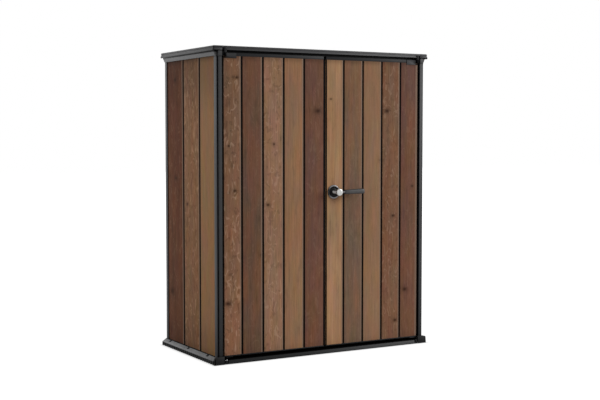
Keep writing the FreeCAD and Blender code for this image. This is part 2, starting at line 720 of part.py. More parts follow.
def make_upper_leaf(label, side):
    """The plate on a door's upper outer corner, with the knuckle that turns on the upper pin."""
    body = new_body(label, side * hinge_x, hinge_y, door_top - size.knuckle_tall)
    face = door_face - hinge_y
    inward = -side
    near = size.knuckle_radius + size.hinge_play
    plate = new_sketch(body, "XZ", face)
    low, high = sided(inward, near, near + size.leaf_wide)
    add_outline(plate, box_points(low, high, size.knuckle_tall - size.leaf_tall, size.knuckle_tall - size.hinge_play))
    pad(body, plate, "XZ", size.leaf_thick, -1)
    band = new_sketch(body, "XZ", face)
    low, high = sided(inward, hinge_x - door_outer + size.running_gap, near + size.leaf_thick)
    add_outline(band, box_points(low, high, size.knuckle_tall - size.leaf_tall, -size.hinge_play))
    pad(body, band, "XZ", size.leaf_thick, -1)
    arm = new_sketch(body, "XY")
    low, high = sided(inward, zero, near + size.leaf_thick)
    add_outline(arm, box_points(low, high, face - size.leaf_thick * 2, face - size.leaf_thick / 2))
    pad(body, arm, "XY", size.knuckle_tall - size.hinge_play)
    add_knuckle(body, size.knuckle_tall - size.hinge_play)
    return body


def add_knuckle(body, tall, lift=zero):
    """A round barrel about the hinge axis, bored for the pin."""
    barrel = new_sketch(body, "XY", lift)
    add_circle(barrel, (zero, zero), size.knuckle_radius)
    pad(body, barrel, "XY", tall)
    bore = new_sketch(body, "XY", lift)
    add_circle(bore, (zero, zero), size.pin_radius + size.pin_fit)
    pocket(body, bore, "XY", tall)


def make_lower_leaf(label, side):
    """The plate under a door's lower outer corner, with the knuckle that turns on the lower pin."""
    low_z = size.sill_tall + size.washer_thick - size.hinge_play
    body = new_body(label, side * hinge_x, hinge_y, low_z)
    tall = door_low - low_z
    thick = size.leaf_thick
    plate = new_sketch(body, "XY", tall - thick)
    outer = door_outer - hinge_x
    low, high = (-size.low_leaf_wide, outer) if side > 0 else (-outer, size.low_leaf_wide)
    add_outline(plate, box_points(low, high, size.knuckle_radius - thick, door_face - hinge_y + size.bolt_back))
    pad(body, plate, "XY", thick)
    add_knuckle(body, tall)
    return body


def make_upper_bracket(label, side):
    """The lug in the roof edge's notch, with the fixed knuckle over a door's upper knuckle."""
    tall = size.roof_tall - size.bead_tall
    body = new_body(label, side * hinge_x, hinge_y, roof_low)
    face = bracket_seat - hinge_y
    near = size.knuckle_radius - size.leaf_thick
    plate = new_sketch(body, "XY", size.slot_fit)
    low, high = sided(side, near, near + size.bracket_wide)
    add_outline(plate, box_points(low, high, face - size.leaf_thick, face))
    pad(body, plate, "XY", tall - size.slot_fit * 2)
    arm = new_sketch(body, "XY", size.slot_fit)
    low, high = sided(side, zero, near + size.leaf_thick)
    add_outline(arm, box_points(low, high, -size.leaf_thick, face - size.leaf_thick / 2))
    pad(body, arm, "XY", tall - size.slot_fit * 2)
    barrel = new_sketch(body, "XY", -size.door_head_gap)
    add_circle(barrel, (zero, zero), size.knuckle_radius)
    pad(body, barrel, "XY", tall + size.door_head_gap - size.slot_fit)
    bore = new_sketch(body, "XY", -size.door_head_gap)
    add_circle(bore, (zero, zero), size.pin_radius)
    pocket(body, bore, "XY", tall + size.door_head_gap)
    return body


def make_lower_bracket(label, side):
    """The foot of a hinge, in the recess of the sill, with the socket that holds the lower pin."""
    low_z = size.notch_sole
    body = new_body(label, side * hinge_x, hinge_y, low_z)
    face = size.notch_deep - size.hinge_front
    tall = size.sill_tall - low_z - size.hinge_play
    plate = new_sketch(body, "XY")
    low, high = sided(-side, -size.knuckle_radius, size.foot_plate_wide)
    add_outline(plate, box_points(low, high, face - size.leaf_thick, face))
    pad(body, plate, "XY", tall)
    arm = new_sketch(body, "XY")
    add_outline(arm, box_points(-size.pin_radius, size.pin_radius, zero, face - size.leaf_thick / 2))
    pad(body, arm, "XY", tall)
    barrel = new_sketch(body, "XY")
    add_circle(barrel, (zero, zero), size.knuckle_radius)
    pad(body, barrel, "XY", tall)
    bore = new_sketch(body, "XY")
    add_circle(bore, (zero, zero), size.pin_radius)
    pocket(body, bore, "XY", tall)
    return body


# Round parts

def ring(label, place, plane, inner, outer, thick):
    """A flat ring, or a disc when the inner radius is none, padded up or to the back from a place."""
    body = new_body(label, *place)
    sketch = new_sketch(body, plane)
    add_circle(sketch, (zero, zero), outer)
    if inner is not None:
        add_circle(sketch, (zero, zero), inner)
    pad(body, sketch, plane, thick)
    return body


def make_handle_parts():
    """The lever handle and the latch behind it, all about one axis square to the door."""
    x, z = size.handle_in, size.handle_high
    play = size.running_gap
    rose_front = door_face - size.rose_thick
    neck_front = rose_front - play - size.neck_long
    hub_front = neck_front - size.hub_long
    cap_front = hub_front - size.cap_thick
    make_rosette(x, z)
    ring("handle_neck", (x, neck_front, z), "XZ", size.spindle_radius, size.neck_radius, size.neck_long)
    make_hub(x, hub_front, z)
    cap = ring("handle_cap", (x, cap_front, z), "XZ", None, size.cap_radius, size.cap_thick)
    soften(cap, size.cap_ease, lambda edge: at_place(edge, "y", zero), "Chamfer")
    make_grip(x, hub_front + size.hub_long / 2, z)
    tongue_back = door_back + size.inner_rose_thick + play + size.tongue_thick
    spindle_long = tongue_back + size.nut_thick - hub_front - size.hub_long / 2
    place = (x, hub_front + size.hub_long / 2, z)
    ring("handle_spindle", place, "XZ", None, size.spindle_radius, spindle_long)
    place = (x, door_back, z)
    ring("inner_rosette", place, "XZ", size.spindle_radius + size.pin_fit, size.inner_rose_radius,
         size.inner_rose_thick)
    make_tongue(x, tongue_back - size.tongue_thick, z)
    make_nut(x, tongue_back, z)


def make_rosette(x, z):
    """The round plate under the handle: a dished face inside a raised rim, and a boss for the neck."""
    thick, rim = size.rose_thick, size.rose_radius
    bore, boss = size.spindle_radius + size.pin_fit, size.neck_radius
    dish = thick - size.rose_dish
    profile = [
        (bore, zero), (rim, zero), (rim, -thick), (rim - size.rose_rim, -thick), (rim - size.rose_rim, -dish),
        (boss, -dish), (boss, -thick), (bore, -thick),
    ]
    return turned("handle_rosette", (x, door_face, z), profile)


def make_nut(x, front, z):
    """The six-sided nut that holds the tongue on the spindle."""
    body = new_body("spindle_nut", x, front, z)
    shape = new_sketch(body, "XZ")
    corners = []
    for step in range(NUT_SIDE_COUNT):
        turn = math.tau * step / NUT_SIDE_COUNT
        corners.append((size.nut_radius * math.cos(turn), size.nut_radius * math.sin(turn)))
    add_outline(shape, corners)
    add_circle(shape, (zero, zero), size.spindle_radius)
    pad(body, shape, "XZ", size.nut_thick)
    return body


def make_hub(x, front, z):
    """The head of the lever, with the collar that holds the grip."""
    body = new_body("handle_hub", x, front, z)
    head = new_sketch(body, "XZ")
    add_circle(head, (zero, zero), size.hub_radius)
    pad(body, head, "XZ", size.hub_long)
    collar = new_sketch(body, "YZ")
    add_circle(collar, (size.hub_long / 2, zero), size.collar_radius)
    pad(body, collar, "YZ", size.hub_radius + size.collar_long)
    bore = new_sketch(body, "XZ", size.hub_long / 2)
    add_circle(bore, (zero, zero), size.spindle_radius)
    pocket(body, bore, "XZ", size.hub_long)
    return body


def make_grip(x, middle_y, z):
    """The lever's grip, which widens upwards towards its rounded end."""
    start = size.hub_radius + size.collar_long
    body = new_body("handle_grip", x + start, middle_y, z)
    half = size.grip_thick / 2
    shape = new_sketch(body, "XZ", -half)
    root, long = size.grip_root / 2, size.grip_long
    add_outline(shape, [(zero, -root), (long, -root), (long, root + size.grip_flare), (zero, root)])
    pad(body, shape, "XZ", size.grip_thick)
    soften(body, size.grip_round, lambda edge: at_place(edge, "x", long) and at_place(edge, "y", zero))
    for face in (-half, half):
        soften(body, size.grip_ease, grip_rim(face), "Chamfer")
    return body


def grip_rim(face):
    """A test for the grip's edges in its front or back face, apart from the one at its root."""
    return lambda edge: at_place(edge, "y", face) and not at_place(edge, "x", zero)


def make_tongue(x, front, z):
    """The latch tongue, hanging down at rest; a quarter turn takes it behind the other door."""
    body = new_body("latch_tongue", x, front, z)
    half = size.tongue_wide / 2
    arm = new_sketch(body, "XZ")
    add_outline(arm, box_points(-half, half, -size.tongue_long, zero))
    pad(body, arm, "XZ", size.tongue_thick)
    boss = new_sketch(body, "XZ")
    add_circle(boss, (zero, zero), size.tongue_boss)
    pad(body, boss, "XZ", size.tongue_thick)
    bore = new_sketch(body, "XZ")
    add_circle(bore, (zero, zero), size.spindle_radius)
    pocket(body, bore, "XZ", size.tongue_thick)
    return body


def make_keeper():
    """The wear plate on the left door's back, which the turned tongue lies behind."""
    tip = size.handle_in - size.tongue_long
    low = tip - size.keeper_wide / 2
    high = -door_inner
    middle = size.handle_high
    tall = size.keeper_tall / 2
    depth = (door_back, door_back + size.inner_rose_thick)
    return block("keeper_plate", (low, high), depth, (middle - tall, middle + tall))


# Slide bolts

def make_bolt(label, low_z, knob_up):
    """A round slide bolt with its finger knob."""
    body = new_body(label, bolt_x, bolt_y, low_z)
    rod = new_sketch(body, "XY")
    add_circle(rod, (zero, zero), size.bolt_radius)
    pad(body, rod, "XY", size.bolt_long)
    knob = new_sketch(body, "XZ")
    add_circle(knob, (zero, knob_up), size.knob_radius)
    pad(body, knob, "XZ", size.knob_long)
    return body


def make_guide(label, low_z):
    """A bolt's guide: a plate on the door's back with two bored eyes."""
    body = new_body(label, bolt_x, door_back, low_z)
    half, eye_half = size.guide_wide / 2, size.eye_wide / 2
    plate = new_sketch(body, "XY")
    add_outline(plate, box_points(-half, half, zero, size.guide_plate))
    pad(body, plate, "XY", guide_tall)
    eye_back = size.bolt_back + size.bolt_radius + size.eye_wall
    for low in (zero, size.eye_span):
        eye = new_sketch(body, "XY", low)
        add_outline(eye, box_points(-eye_half, eye_half, zero, eye_back))
        pad(body, eye, "XY", size.eye_tall)
    bore = new_sketch(body, "XY")
    add_circle(bore, (zero, size.bolt_back), size.bolt_radius + size.pin_fit)
    pocket(body, bore, "XY", guide_tall)
    return body


# Hinge pins and washers

def make_pins():
    """The four hinge pins, as one group of separate rods."""
    upper_z = door_top - size.knuckle_tall
    reach = roof_low + size.roof_tall - size.bead_tall - size.slot_fit
    spans = [(size.notch_sole, door_low - size.leaf_thick), (upper_z, reach)]
    rods = []
    for side in (-1, 1):
        for low, high in spans:
            rod = doc.addObject("Part::Cylinder", "pin_rod")
            rod.setExpression("Radius", size.pin_radius.text)
            rod.setExpression("Height", (high - low).text)
            place_at(rod, side * hinge_x, hinge_y, low)
            rods.append(rod)
    group = doc.addObject("Part::Compound", "hinge_pins")
    group.Label = "hinge_pins"
    group.Links = rods
    return group


def make_washers():
    """The two bright washers that the lower knuckles turn on."""
    washers = []
    low = size.sill_tall - size.hinge_play
    for side in (-1, 1):
        disc = doc.addObject("Part::Cylinder", "washer_disc")
        disc.setExpression("Radius", size.washer_radius.text)
        disc.setExpression("Height", (size.washer_thick - size.running_gap / 2).text)
        place_at(disc, side * hinge_x, hinge_y, low)
        bore = doc.addObject("Part::Cylinder", "washer_bore")
        bore.setExpression("Radius", size.pin_radius.text)
        bore.setExpression("Height", size.washer_thick.text)
        place_at(bore, side * hinge_x, hinge_y, low)
        washer = doc.addObject("Part::Cut", "washer_ring")
        washer.Base = disc
        washer.Tool = bore
        washers.append(washer)
    group = doc.addObject("Part::Compound", "hinge_washers")
    group.Label = "hinge_washers"
    group.Links = washers
    return group


def place_at(item, x, y, z):
    """Binds a primitive's place to the sizes."""
    for axis, place in (("x", x), ("y", y), ("z", z)):
        item.setExpression(".Placement.Base." + axis, as_size(place).text)


# The whole cabinet

SIDES = {"left": -1, "right": 1}
FIRST_GROOVE = {"left": size.left_first_groove, "right": size.right_first_groove}

make_floor_panel()
make_back_joint_strip()
make_header_beam()
make_roof_panel()
for name, side in SIDES.items():
    make_foot("front_" + name + "_foot", side)
    make_front_post("front_" + name + "_post", side)
    make_post_cap("front_" + name + "_post_cap", side)
    make_rear_post("rear_" + name + "_post", side)
    make_side_wall(name + "_wall", side)
    make_back_wall("back_" + name + "_wall", side)
    make_eave_strip(name + "_eave_strip", side)
    make_upper_bracket("upper_" + name + "_hinge_bracket", side)
    make_lower_bracket("lower_" + name + "_hinge_bracket", side)
    make_door_panel(name + "_door_panel", side, FIRST_GROOVE[name])
    make_door_rail(name + "_door_top_rail", side, wood_top, size.top_rail_tall, True)
    make_door_rail(name + "_door_bottom_rail", side, door_low, size.low_rail_tall, False)
    make_edge_seal(name + "_door_edge_seal", side)
    make_upper_leaf("upper_" + name + "_hinge_leaf", side)
    make_lower_leaf("lower_" + name + "_hinge_leaf", side)
make_pins()
make_washers()
make_handle_parts()
make_keeper()
make_bolt("upper_bolt", upper_bolt_low, size.knob_at)
make_bolt("lower_bolt", lower_bolt_low, size.knob_at)
make_guide("upper_bolt_guide", header_low - size.eye_first - guide_tall)
make_guide("lower_bolt_guide", size.deck_tall + size.eye_first * 2)
doc.recompute()


# Checks, then one file for each piece

pieces = [item for item in doc.Objects if item.TypeId in ("PartDesign::Body", "Part::Compound")]
for item in doc.Objects:
    if "Invalid" in item.State or "Error" in item.State:
        raise RuntimeError("failed object: " + item.Label + " " + str(item.State))
for piece in pieces:
    if piece.Shape.isNull() or not piece.Shape.isValid():
        raise RuntimeError("bad shape: " + piece.Label)
os.makedirs("parts", exist_ok=True)
for piece in pieces:
    piece.Shape.exportStep("parts/" + piece.Label + ".step")
    print(piece.Label, len(piece.Shape.Solids), round(piece.Shape.Volume / 1000, 1), "cm3")
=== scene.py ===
"""Finishes of a tall two-door garden cabinet: printed plank panels, dark moulded trim and a lever handle."""
import json
import math

import bpy
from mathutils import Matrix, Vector


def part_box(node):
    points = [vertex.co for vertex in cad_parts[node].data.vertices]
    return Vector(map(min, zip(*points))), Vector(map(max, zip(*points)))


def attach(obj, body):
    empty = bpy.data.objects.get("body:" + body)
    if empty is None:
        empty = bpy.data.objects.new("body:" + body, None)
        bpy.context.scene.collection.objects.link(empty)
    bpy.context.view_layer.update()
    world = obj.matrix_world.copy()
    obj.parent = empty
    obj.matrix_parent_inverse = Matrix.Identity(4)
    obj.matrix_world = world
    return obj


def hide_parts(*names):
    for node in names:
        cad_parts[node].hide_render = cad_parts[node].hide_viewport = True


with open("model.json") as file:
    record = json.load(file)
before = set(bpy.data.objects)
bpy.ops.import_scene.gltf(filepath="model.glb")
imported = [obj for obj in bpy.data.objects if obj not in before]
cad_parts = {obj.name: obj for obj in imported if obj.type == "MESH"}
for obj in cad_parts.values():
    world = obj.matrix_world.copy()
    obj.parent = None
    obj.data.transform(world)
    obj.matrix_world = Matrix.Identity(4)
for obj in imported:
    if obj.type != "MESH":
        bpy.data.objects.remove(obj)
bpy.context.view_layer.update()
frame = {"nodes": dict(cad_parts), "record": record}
NODES = frame["nodes"]
BODY_OF = {node: body for body, members in frame["record"]["behaviour"]["bodies"].items() for node in members}
MM = 0.001


# Shader building

def tint(red, green, blue):
    """A colour given in display values from 0 to 255, as the linear colour that shaders take."""
    def linear(level):
        level /= 255
        return level / 12.92 if level <= 0.04045 else ((level + 0.055) / 1.055) ** 2.4
    return (linear(red), linear(green), linear(blue), 1.0)


class Value:
    """A socket in a set of nodes; arithmetic on it adds Math nodes."""

    def __init__(self, owner, socket):
        self.owner = owner
        self.socket = socket

    def math(self, operation, *others):
        return self.owner.math(operation, self, *others)

    def __add__(self, other):
        return self.math("ADD", other)

    def __radd__(self, other):
        return self.math("ADD", other)

    def __sub__(self, other):
        return self.math("SUBTRACT", other)

    def __rsub__(self, other):
        return self.owner.math("SUBTRACT", other, self)

    def __mul__(self, other):
        return self.math("MULTIPLY", other)

    def __rmul__(self, other):
        return self.math("MULTIPLY", other)

    def __truediv__(self, other):
        return self.math("DIVIDE", other)

    def __pow__(self, other):
        return self.math("POWER", other)

    def __gt__(self, other):
        return self.math("GREATER_THAN", other)

    def __lt__(self, other):
        return self.math("LESS_THAN", other)


class NodeSet:
    """The nodes of a material or of the surroundings, built up from none."""

    def __init__(self, holder):
        holder.use_nodes = True
        self.tree = holder.node_tree
        self.tree.nodes.clear()

    def add(self, kind, settings=None, values=(), out=0, **named):
        """Adds a node: its settings first, then its sockets by order, by number or by name. Gives back one of
        its outputs, if it has any."""
        node = self.tree.nodes.new(kind)
        for key, setting in (settings or {}).items():
            if key == "stops":
                set_stops(node.color_ramp, setting)
            else:
                setattr(node, key, setting)
        numbered = values if isinstance(values, dict) else dict(enumerate(values))
        for key, value in (*numbered.items(), *named.items()):
            self.feed(node.inputs[key], value)
        return Value(self, node.outputs[out]) if node.outputs else None

    def feed(self, socket, value):
        """Links or sets one socket."""
        if isinstance(value, Value):
            self.tree.links.new(value.socket, socket)
        elif value is not None:
            socket.default_value = value

    def math(self, operation, *values):
        return self.add("ShaderNodeMath", {"operation": operation}, values)

    def vector(self, x, y, z):
        return self.add("ShaderNodeCombineXYZ", values=[x, y, z])

    def part(self, vector, axis):
        return self.add("ShaderNodeSeparateXYZ", values=[vector], out=axis)

    def noise(self, place, scale=1.0, detail=2.0, rough=0.5, swirl=0.0):
        """Soft noise from 0 to 1."""
        sockets = {"Vector": place, "Scale": scale, "Detail": detail, "Roughness": rough, "Distortion": swirl}
        return self.add("ShaderNodeTexNoise", **sockets)

    def step(self, value, low, high):
        """A smooth rise from 0 to 1 between two levels."""
        settings = {"interpolation_type": "SMOOTHSTEP"}
        return self.add("ShaderNodeMapRange", settings, [value, low, high, 0.0, 1.0])

    def bands(self, value, stops):
        """A colour for each band of a value, from (start, colour) stops."""
        return self.add("ShaderNodeValToRGB", {"stops": stops}, [value])

    def mix(self, factor, low, high, blend="MIX"):
        """Two colours mixed."""
        settings = {"data_type": "RGBA", "blend_type": blend}
        return self.add("ShaderNodeMix", settings, {0: factor, 6: low, 7: high}, out=2)

    def shade(self, colour, factor):
        """A colour made lighter or darker by a value around 1."""
        return self.mix(1.0, colour, self.vector(factor, factor, factor), "MULTIPLY")

    def tinge(self, colour, amount, shares):
        """A colour whose three channels change by their shares of a value around 0."""
        factors = [amount * share + 1.0 if share else 1.0 for share in shares]
        return self.mix(1.0, colour, self.vector(*factors), "MULTIPLY")

    def split(self, colour):
        """The three channels of a colour."""
        names = ("Red", "Green", "Blue")
        return [self.add("ShaderNodeSeparateColor", values=[colour], out=name) for name in names]


class Finish(NodeSet):
    """A material under construction, with its object coordinates and its surface shader."""

    def __init__(self, name, **constants):
        self.material = bpy.data.materials.new(name)
        super().__init__(self.material)
        constants = {socket.replace("_", " "): number for socket, number in constants.items()}
        shader = self.add("ShaderNodeBsdfPrincipled", **constants)
        self.shader = shader.socket.node
        self.add("ShaderNodeOutputMaterial", Surface=shader)
        self.place = self.add("ShaderNodeTexCoord", out="Object")
        self.x, self.y, self.z = (self.part(self.place, axis) for axis in "XYZ")

    def stretched(self, across, along):
        """The place with one scale across the vertical and one along it."""
        return self.vector(self.x * across, self.y * across, self.z * along)

    def surface(self, colour, rough, height, depth, metal=None, coat=None):
        """Feeds the shader's varying sockets, and its bump from a height from 0 to 1."""
        bump = self.add("ShaderNodeBump", Height=height, Distance=depth, Strength=1.0)
        sockets = {
            "Base Color": colour, "Roughness": rough, "Metallic": metal, "Coat Weight": coat, "Normal": bump,
        }
        for name, value in sockets.items():
            self.feed(self.shader.inputs[name], value)
        return self.material


def set_stops(ramp, stops):
    """Gives a colour ramp one flat band from each stop to the next."""
    ramp.interpolation = "CONSTANT"
    while len(ramp.elements) > 1:
        ramp.elements.remove(ramp.elements[-1])
    ramp.elements[0].position, ramp.elements[0].color = stops[0]
    for place, colour in stops[1:]:
        ramp.elements.new(place).color = colour


# Printed wood

TONES = {
    "honey": tint(153, 119, 88),
    "wheat": tint(145, 110, 81),
    "rose": tint(137, 103, 82),
    "sand": tint(131, 100, 75),
    "amber": tint(139, 102, 74),
    "tawny": tint(124, 89, 67),
    "hazel": tint(117, 87, 65),
    "tan": tint(113, 84, 64),
    "taupe": tint(106, 83, 66),
    "olive": tint(116, 90, 62),
    "russet": tint(114, 79, 59),
    "walnut": tint(109, 80, 60),
    "chestnut": tint(103, 71, 54),
    "plum": tint(99, 69, 58),
    "umber": tint(91, 69, 55),
    "cocoa": tint(86, 56, 42),
    "bark": tint(77, 48, 36),
}
# Tones: the painted highlight beside the grooves, the grooves, the knots and the pale strokes of the figure
EDGE_HIGHLIGHT_TONE = tint(122, 102, 88)
GROOVE_TONE = tint(6, 4, 3)
KNOT_TONE = tint(44, 25, 14)
STROKE_TONE = tint(182, 152, 128)

# One plank a row: its main tone, its streak tone, the strength of its growth rings, how curly its figure is,
# where the middle of its figure lies, as a share of the plank's width, how far its streak tone gathers
# towards the bottom, from 0 for all at the top to 1, with 0.5 for even, and how smudged it is
LEFT_DOOR_PLANKS = [
    ("tan", "tawny", 0.3, 1.0, 0.3, 0.9, 0.9),
    ("chestnut", "umber", 0.25, 0.15, 0.8, 0.8, 0.9),
    ("sand", "rose", 0.4, 0.8, 0.2, 0.5, 0.5),
    ("amber", "sand", 0.25, 0.1, 1.0, 0.6, 0.6),
    ("plum", "chestnut", 0.25, 0.2, 0.7, 0.5, 0.7),
]
RIGHT_DOOR_PLANKS = [
    ("honey", "wheat", 0.25, 0.1, 1.0, 0.5, 0.6),
    ("hazel", "taupe", 0.25, 0.2, 0.6, 0.8, 0.6),
    ("sand", "sand", 0.15, 0.1, 1.0, 0.5, 0.3),
    ("tan", "russet", 0.3, 0.6, 0.4, 0.6, 0.8),
    ("chestnut", "plum", 0.2, 0.2, 0.7, 0.4, 0.6),
]
LEFT_WALL_PLANKS = [
    ("hazel", "olive", 0.2, 0.1, 1.0, 0.5, 0.5),
    ("walnut", "walnut", 0.3, 0.8, 0.4, 0.5, 0.9),
    ("bark", "cocoa", 0.3, 0.25, 0.7, 0.8, 0.9),
]
RIGHT_WALL_PLANKS = [
    ("sand", "olive", 0.3, 0.1, 0.4, 0.5, 0.6),
    ("chestnut", "umber", 0.3, 0.15, 0.8, 0.7, 0.9),
    ("hazel", "russet", 0.4, 0.5, 0.3, 0.4, 0.8),
]
BACK_LEFT_PLANKS = [
    ("chestnut", "plum", 0.3, 0.2, 0.7, 0.6, 0.8),
    ("sand", "rose", 0.4, 0.4, 0.3, 0.5, 0.6),
    ("hazel", "umber", 0.3, 0.3, 0.6, 0.5, 0.8),
]
BACK_RIGHT_PLANKS = [
    ("amber", "sand", 0.3, 0.2, 1.0, 0.5, 0.6),
    ("plum", "umber", 0.3, 0.2, 0.6, 0.4, 0.8),
    ("hazel", "russet", 0.4, 0.5, 0.4, 0.6, 0.8),
]

# Knots, as (across, height, radius)
LEFT_DOOR_KNOTS = [
    (-0.046, 1.3765, 0.012), (-0.612, 0.329, 0.011), (-0.568, 0.940, 0.008), (-0.555, 1.552, 0.007),
    (-0.327, 1.192, 0.005), (-0.3655, 0.858, 0.007), (-0.605, 1.183, 0.005), (-0.403, 0.583, 0.007),
]
RIGHT_DOOR_KNOTS = [
    (0.421, 1.3815, 0.011), (0.5515, 0.331, 0.011), (0.467, 0.770, 0.007), (0.602, 0.941, 0.005),
    (0.483, 0.1515, 0.008), (0.039, 1.445, 0.004), (0.380, 1.097, 0.007),
]
LEFT_WALL_KNOTS = [(0.266, 0.330, 0.014), (0.049, 0.852, 0.009), (0.212, 1.558, 0.010), (0.207, 0.994, 0.009)]
RIGHT_WALL_KNOTS = [(0.180, 1.120, 0.012), (-0.060, 0.420, 0.009), (-0.200, 1.380, 0.011)]
BACK_LEFT_KNOTS = [(-0.560, 0.780, 0.012), (-0.300, 1.300, 0.009)]
BACK_RIGHT_KNOTS = [(0.330, 0.460, 0.012), (0.570, 1.210, 0.010)]

# The seed of each panel's noise, and how far the seeds of its planks lie apart
SEEDS = {
    "left_door_planks": 3.1, "right_door_planks": 11.7, "left_wall_planks": 21.3, "right_wall_planks": 33.9,
    "back_left_planks": 45.2, "back_right_planks": 57.6,
}
SEED_SPREAD = 37.0

# Growth rings: their pitch, the square of their innermost radius, how far they sway, wriggle and lean, and
# how many more of them run round a knot
RING_PITCH = 11 * MM
RING_HEART = 220 * MM * MM
RING_SWAY = 0.05
RING_WRIGGLE = 0.008
RING_LEAN = 0.018
KNOT_RINGS = 3.0

# How strongly each feature of the print shows, and what the warm and pink areas do to the three channels
WARM_SHARES = (0.34, 0.0, -0.45)
PINK_SHARES = (0.16, -0.16, 0.2)
UNSMUDGED = 1.03
SMUDGE_DEPTH = 0.2
RING_DEPTH = 0.24
GRAIN_DEPTH = 0.66
PATCH_DEPTH = 0.26
STROKE_SHARE = 0.28
STROKE_TURNS = 30.0
PORE_DEPTH = 0.24
HALO_DEPTH = 0.25
# How strongly the painted highlight beside the grooves shows
EDGE_HIGHLIGHT_SHARE = 0.7

# Knots: their half width and half height as shares of their radius, how fast the wide halo and the dark core
# fade with the square of the distance, and how dark the core is
KNOT_WIDE = 1.3
KNOT_TALL = 0.95
HALO_FALL = -0.16
CORE_FALL = -0.9
CORE_DEPTH = 0.9

# Streak tones gather above or below a panel's middle, at this rate by height
PANEL_MIDDLE = 0.86
GATHER_RATE = 0.45
# Where the walls start, and how tall the dark line at their foot is
WALL_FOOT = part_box("left_wall")[0].z
FOOT_LINE = 3 * MM

# Painted shade and light by height: heights between which the print darkens, by how much; below zero it
# lightens
PAINTED_END_SHADE = [(1.632, 1.666, 0.28), (0.085, 0.045, 0.12)]
FRONT_PAINTED_SHADING = PAINTED_END_SHADE + [(1.0, 1.6, 0.08), (0.9, 0.1, -0.24)]
SIDE_PAINTED_SHADING = PAINTED_END_SHADE + [(1.3, 1.62, 0.32), (0.25, 0.09, 0.18)]
# Painted light: the brightness of the print's channels, on the doors and the back and on the side walls
FRONT_PAINTED_LIGHT = (1.01, 1.0, 1.0, 1.0)
SIDE_PAINTED_LIGHT = (1.26, 1.2, 1.08, 1.0)
# The soft dark spot under the lever's rosette, as (across, height, half width, half height, strength)
ROSETTE_SHADOW = (0.066, 0.890, 0.036, 0.03, 0.5)

# Where the planks meet: from the panel's end to its first groove, and from groove to groove
LEFT_FIRST_SEAM = 111.5 * MM
RIGHT_FIRST_SEAM = 117 * MM
DOOR_PITCH = 130 * MM
SIDE_FIRST_SEAM = 204 * MM
SIDE_PITCH = 218 * MM
BACK_PITCH = 213 * MM

# The ends of the prints: dark on the doors, on the latch side of the right door and at the front of the side
# walls, and pale on the hinge side of the right door
DOOR_DARK_END = 3 * MM
LATCH_DARK_END = 5 * MM
WALL_DARK_END = 16 * MM
DOOR_PALE_END = 13 * MM

# Grooves, in millimetres: how far from the middle their walls and their eased mouths lie in the solids, how
# deep the corners lie that are moved, how much wider the grooves get, and how much further their mouths
WALL_REACH = (4.0, 5.0)
MOUTH_REACH = (5.2, 7.0)
CORNER_DEPTH = 5.5
DOOR_WIDEN = 1.2
WALL_WIDEN = 4.5
MOUTH_FLARE = 4.5
# Half the width of the dark paint in a groove that isn't widened, and how far beyond it the painted highlight
# beside the groove begins to fade and ends, also in millimetres
GROOVE_PAINT = 5.0
PALE_SOLID = 7
PALE_END = 10
# How far behind the outer face the grooves and the painted edge highlights are drawn
FACE_DEPTH = 6 * MM


def plank_fields(wood, share, starts, planks):
    """What the print does on each plank, which starts at a share of the panel's width: its two tones, where
    the middle of its figure lies, and the strengths of its rings, curls, lean and haze."""
    tones, streaks, figures, habits = [], [], [], []
    for start, end, plank in zip(starts, starts[1:] + [1.0], planks):
        tone, streak, rings, curl, middle, lean, haze = plank
        tones.append((start, TONES[tone]))
        streaks.append((start, TONES[streak]))
        figures.append((start, (start + (end - start) * middle, rings, curl, 1.0)))
        habits.append((start, (lean, haze, 0.0, 1.0)))
    centre, rings, curl = wood.split(wood.bands(share, figures))
    lean, haze, _ = wood.split(wood.bands(share, habits))
    return wood.bands(share, tones), wood.bands(share, streaks), centre, rings, curl, lean, haze


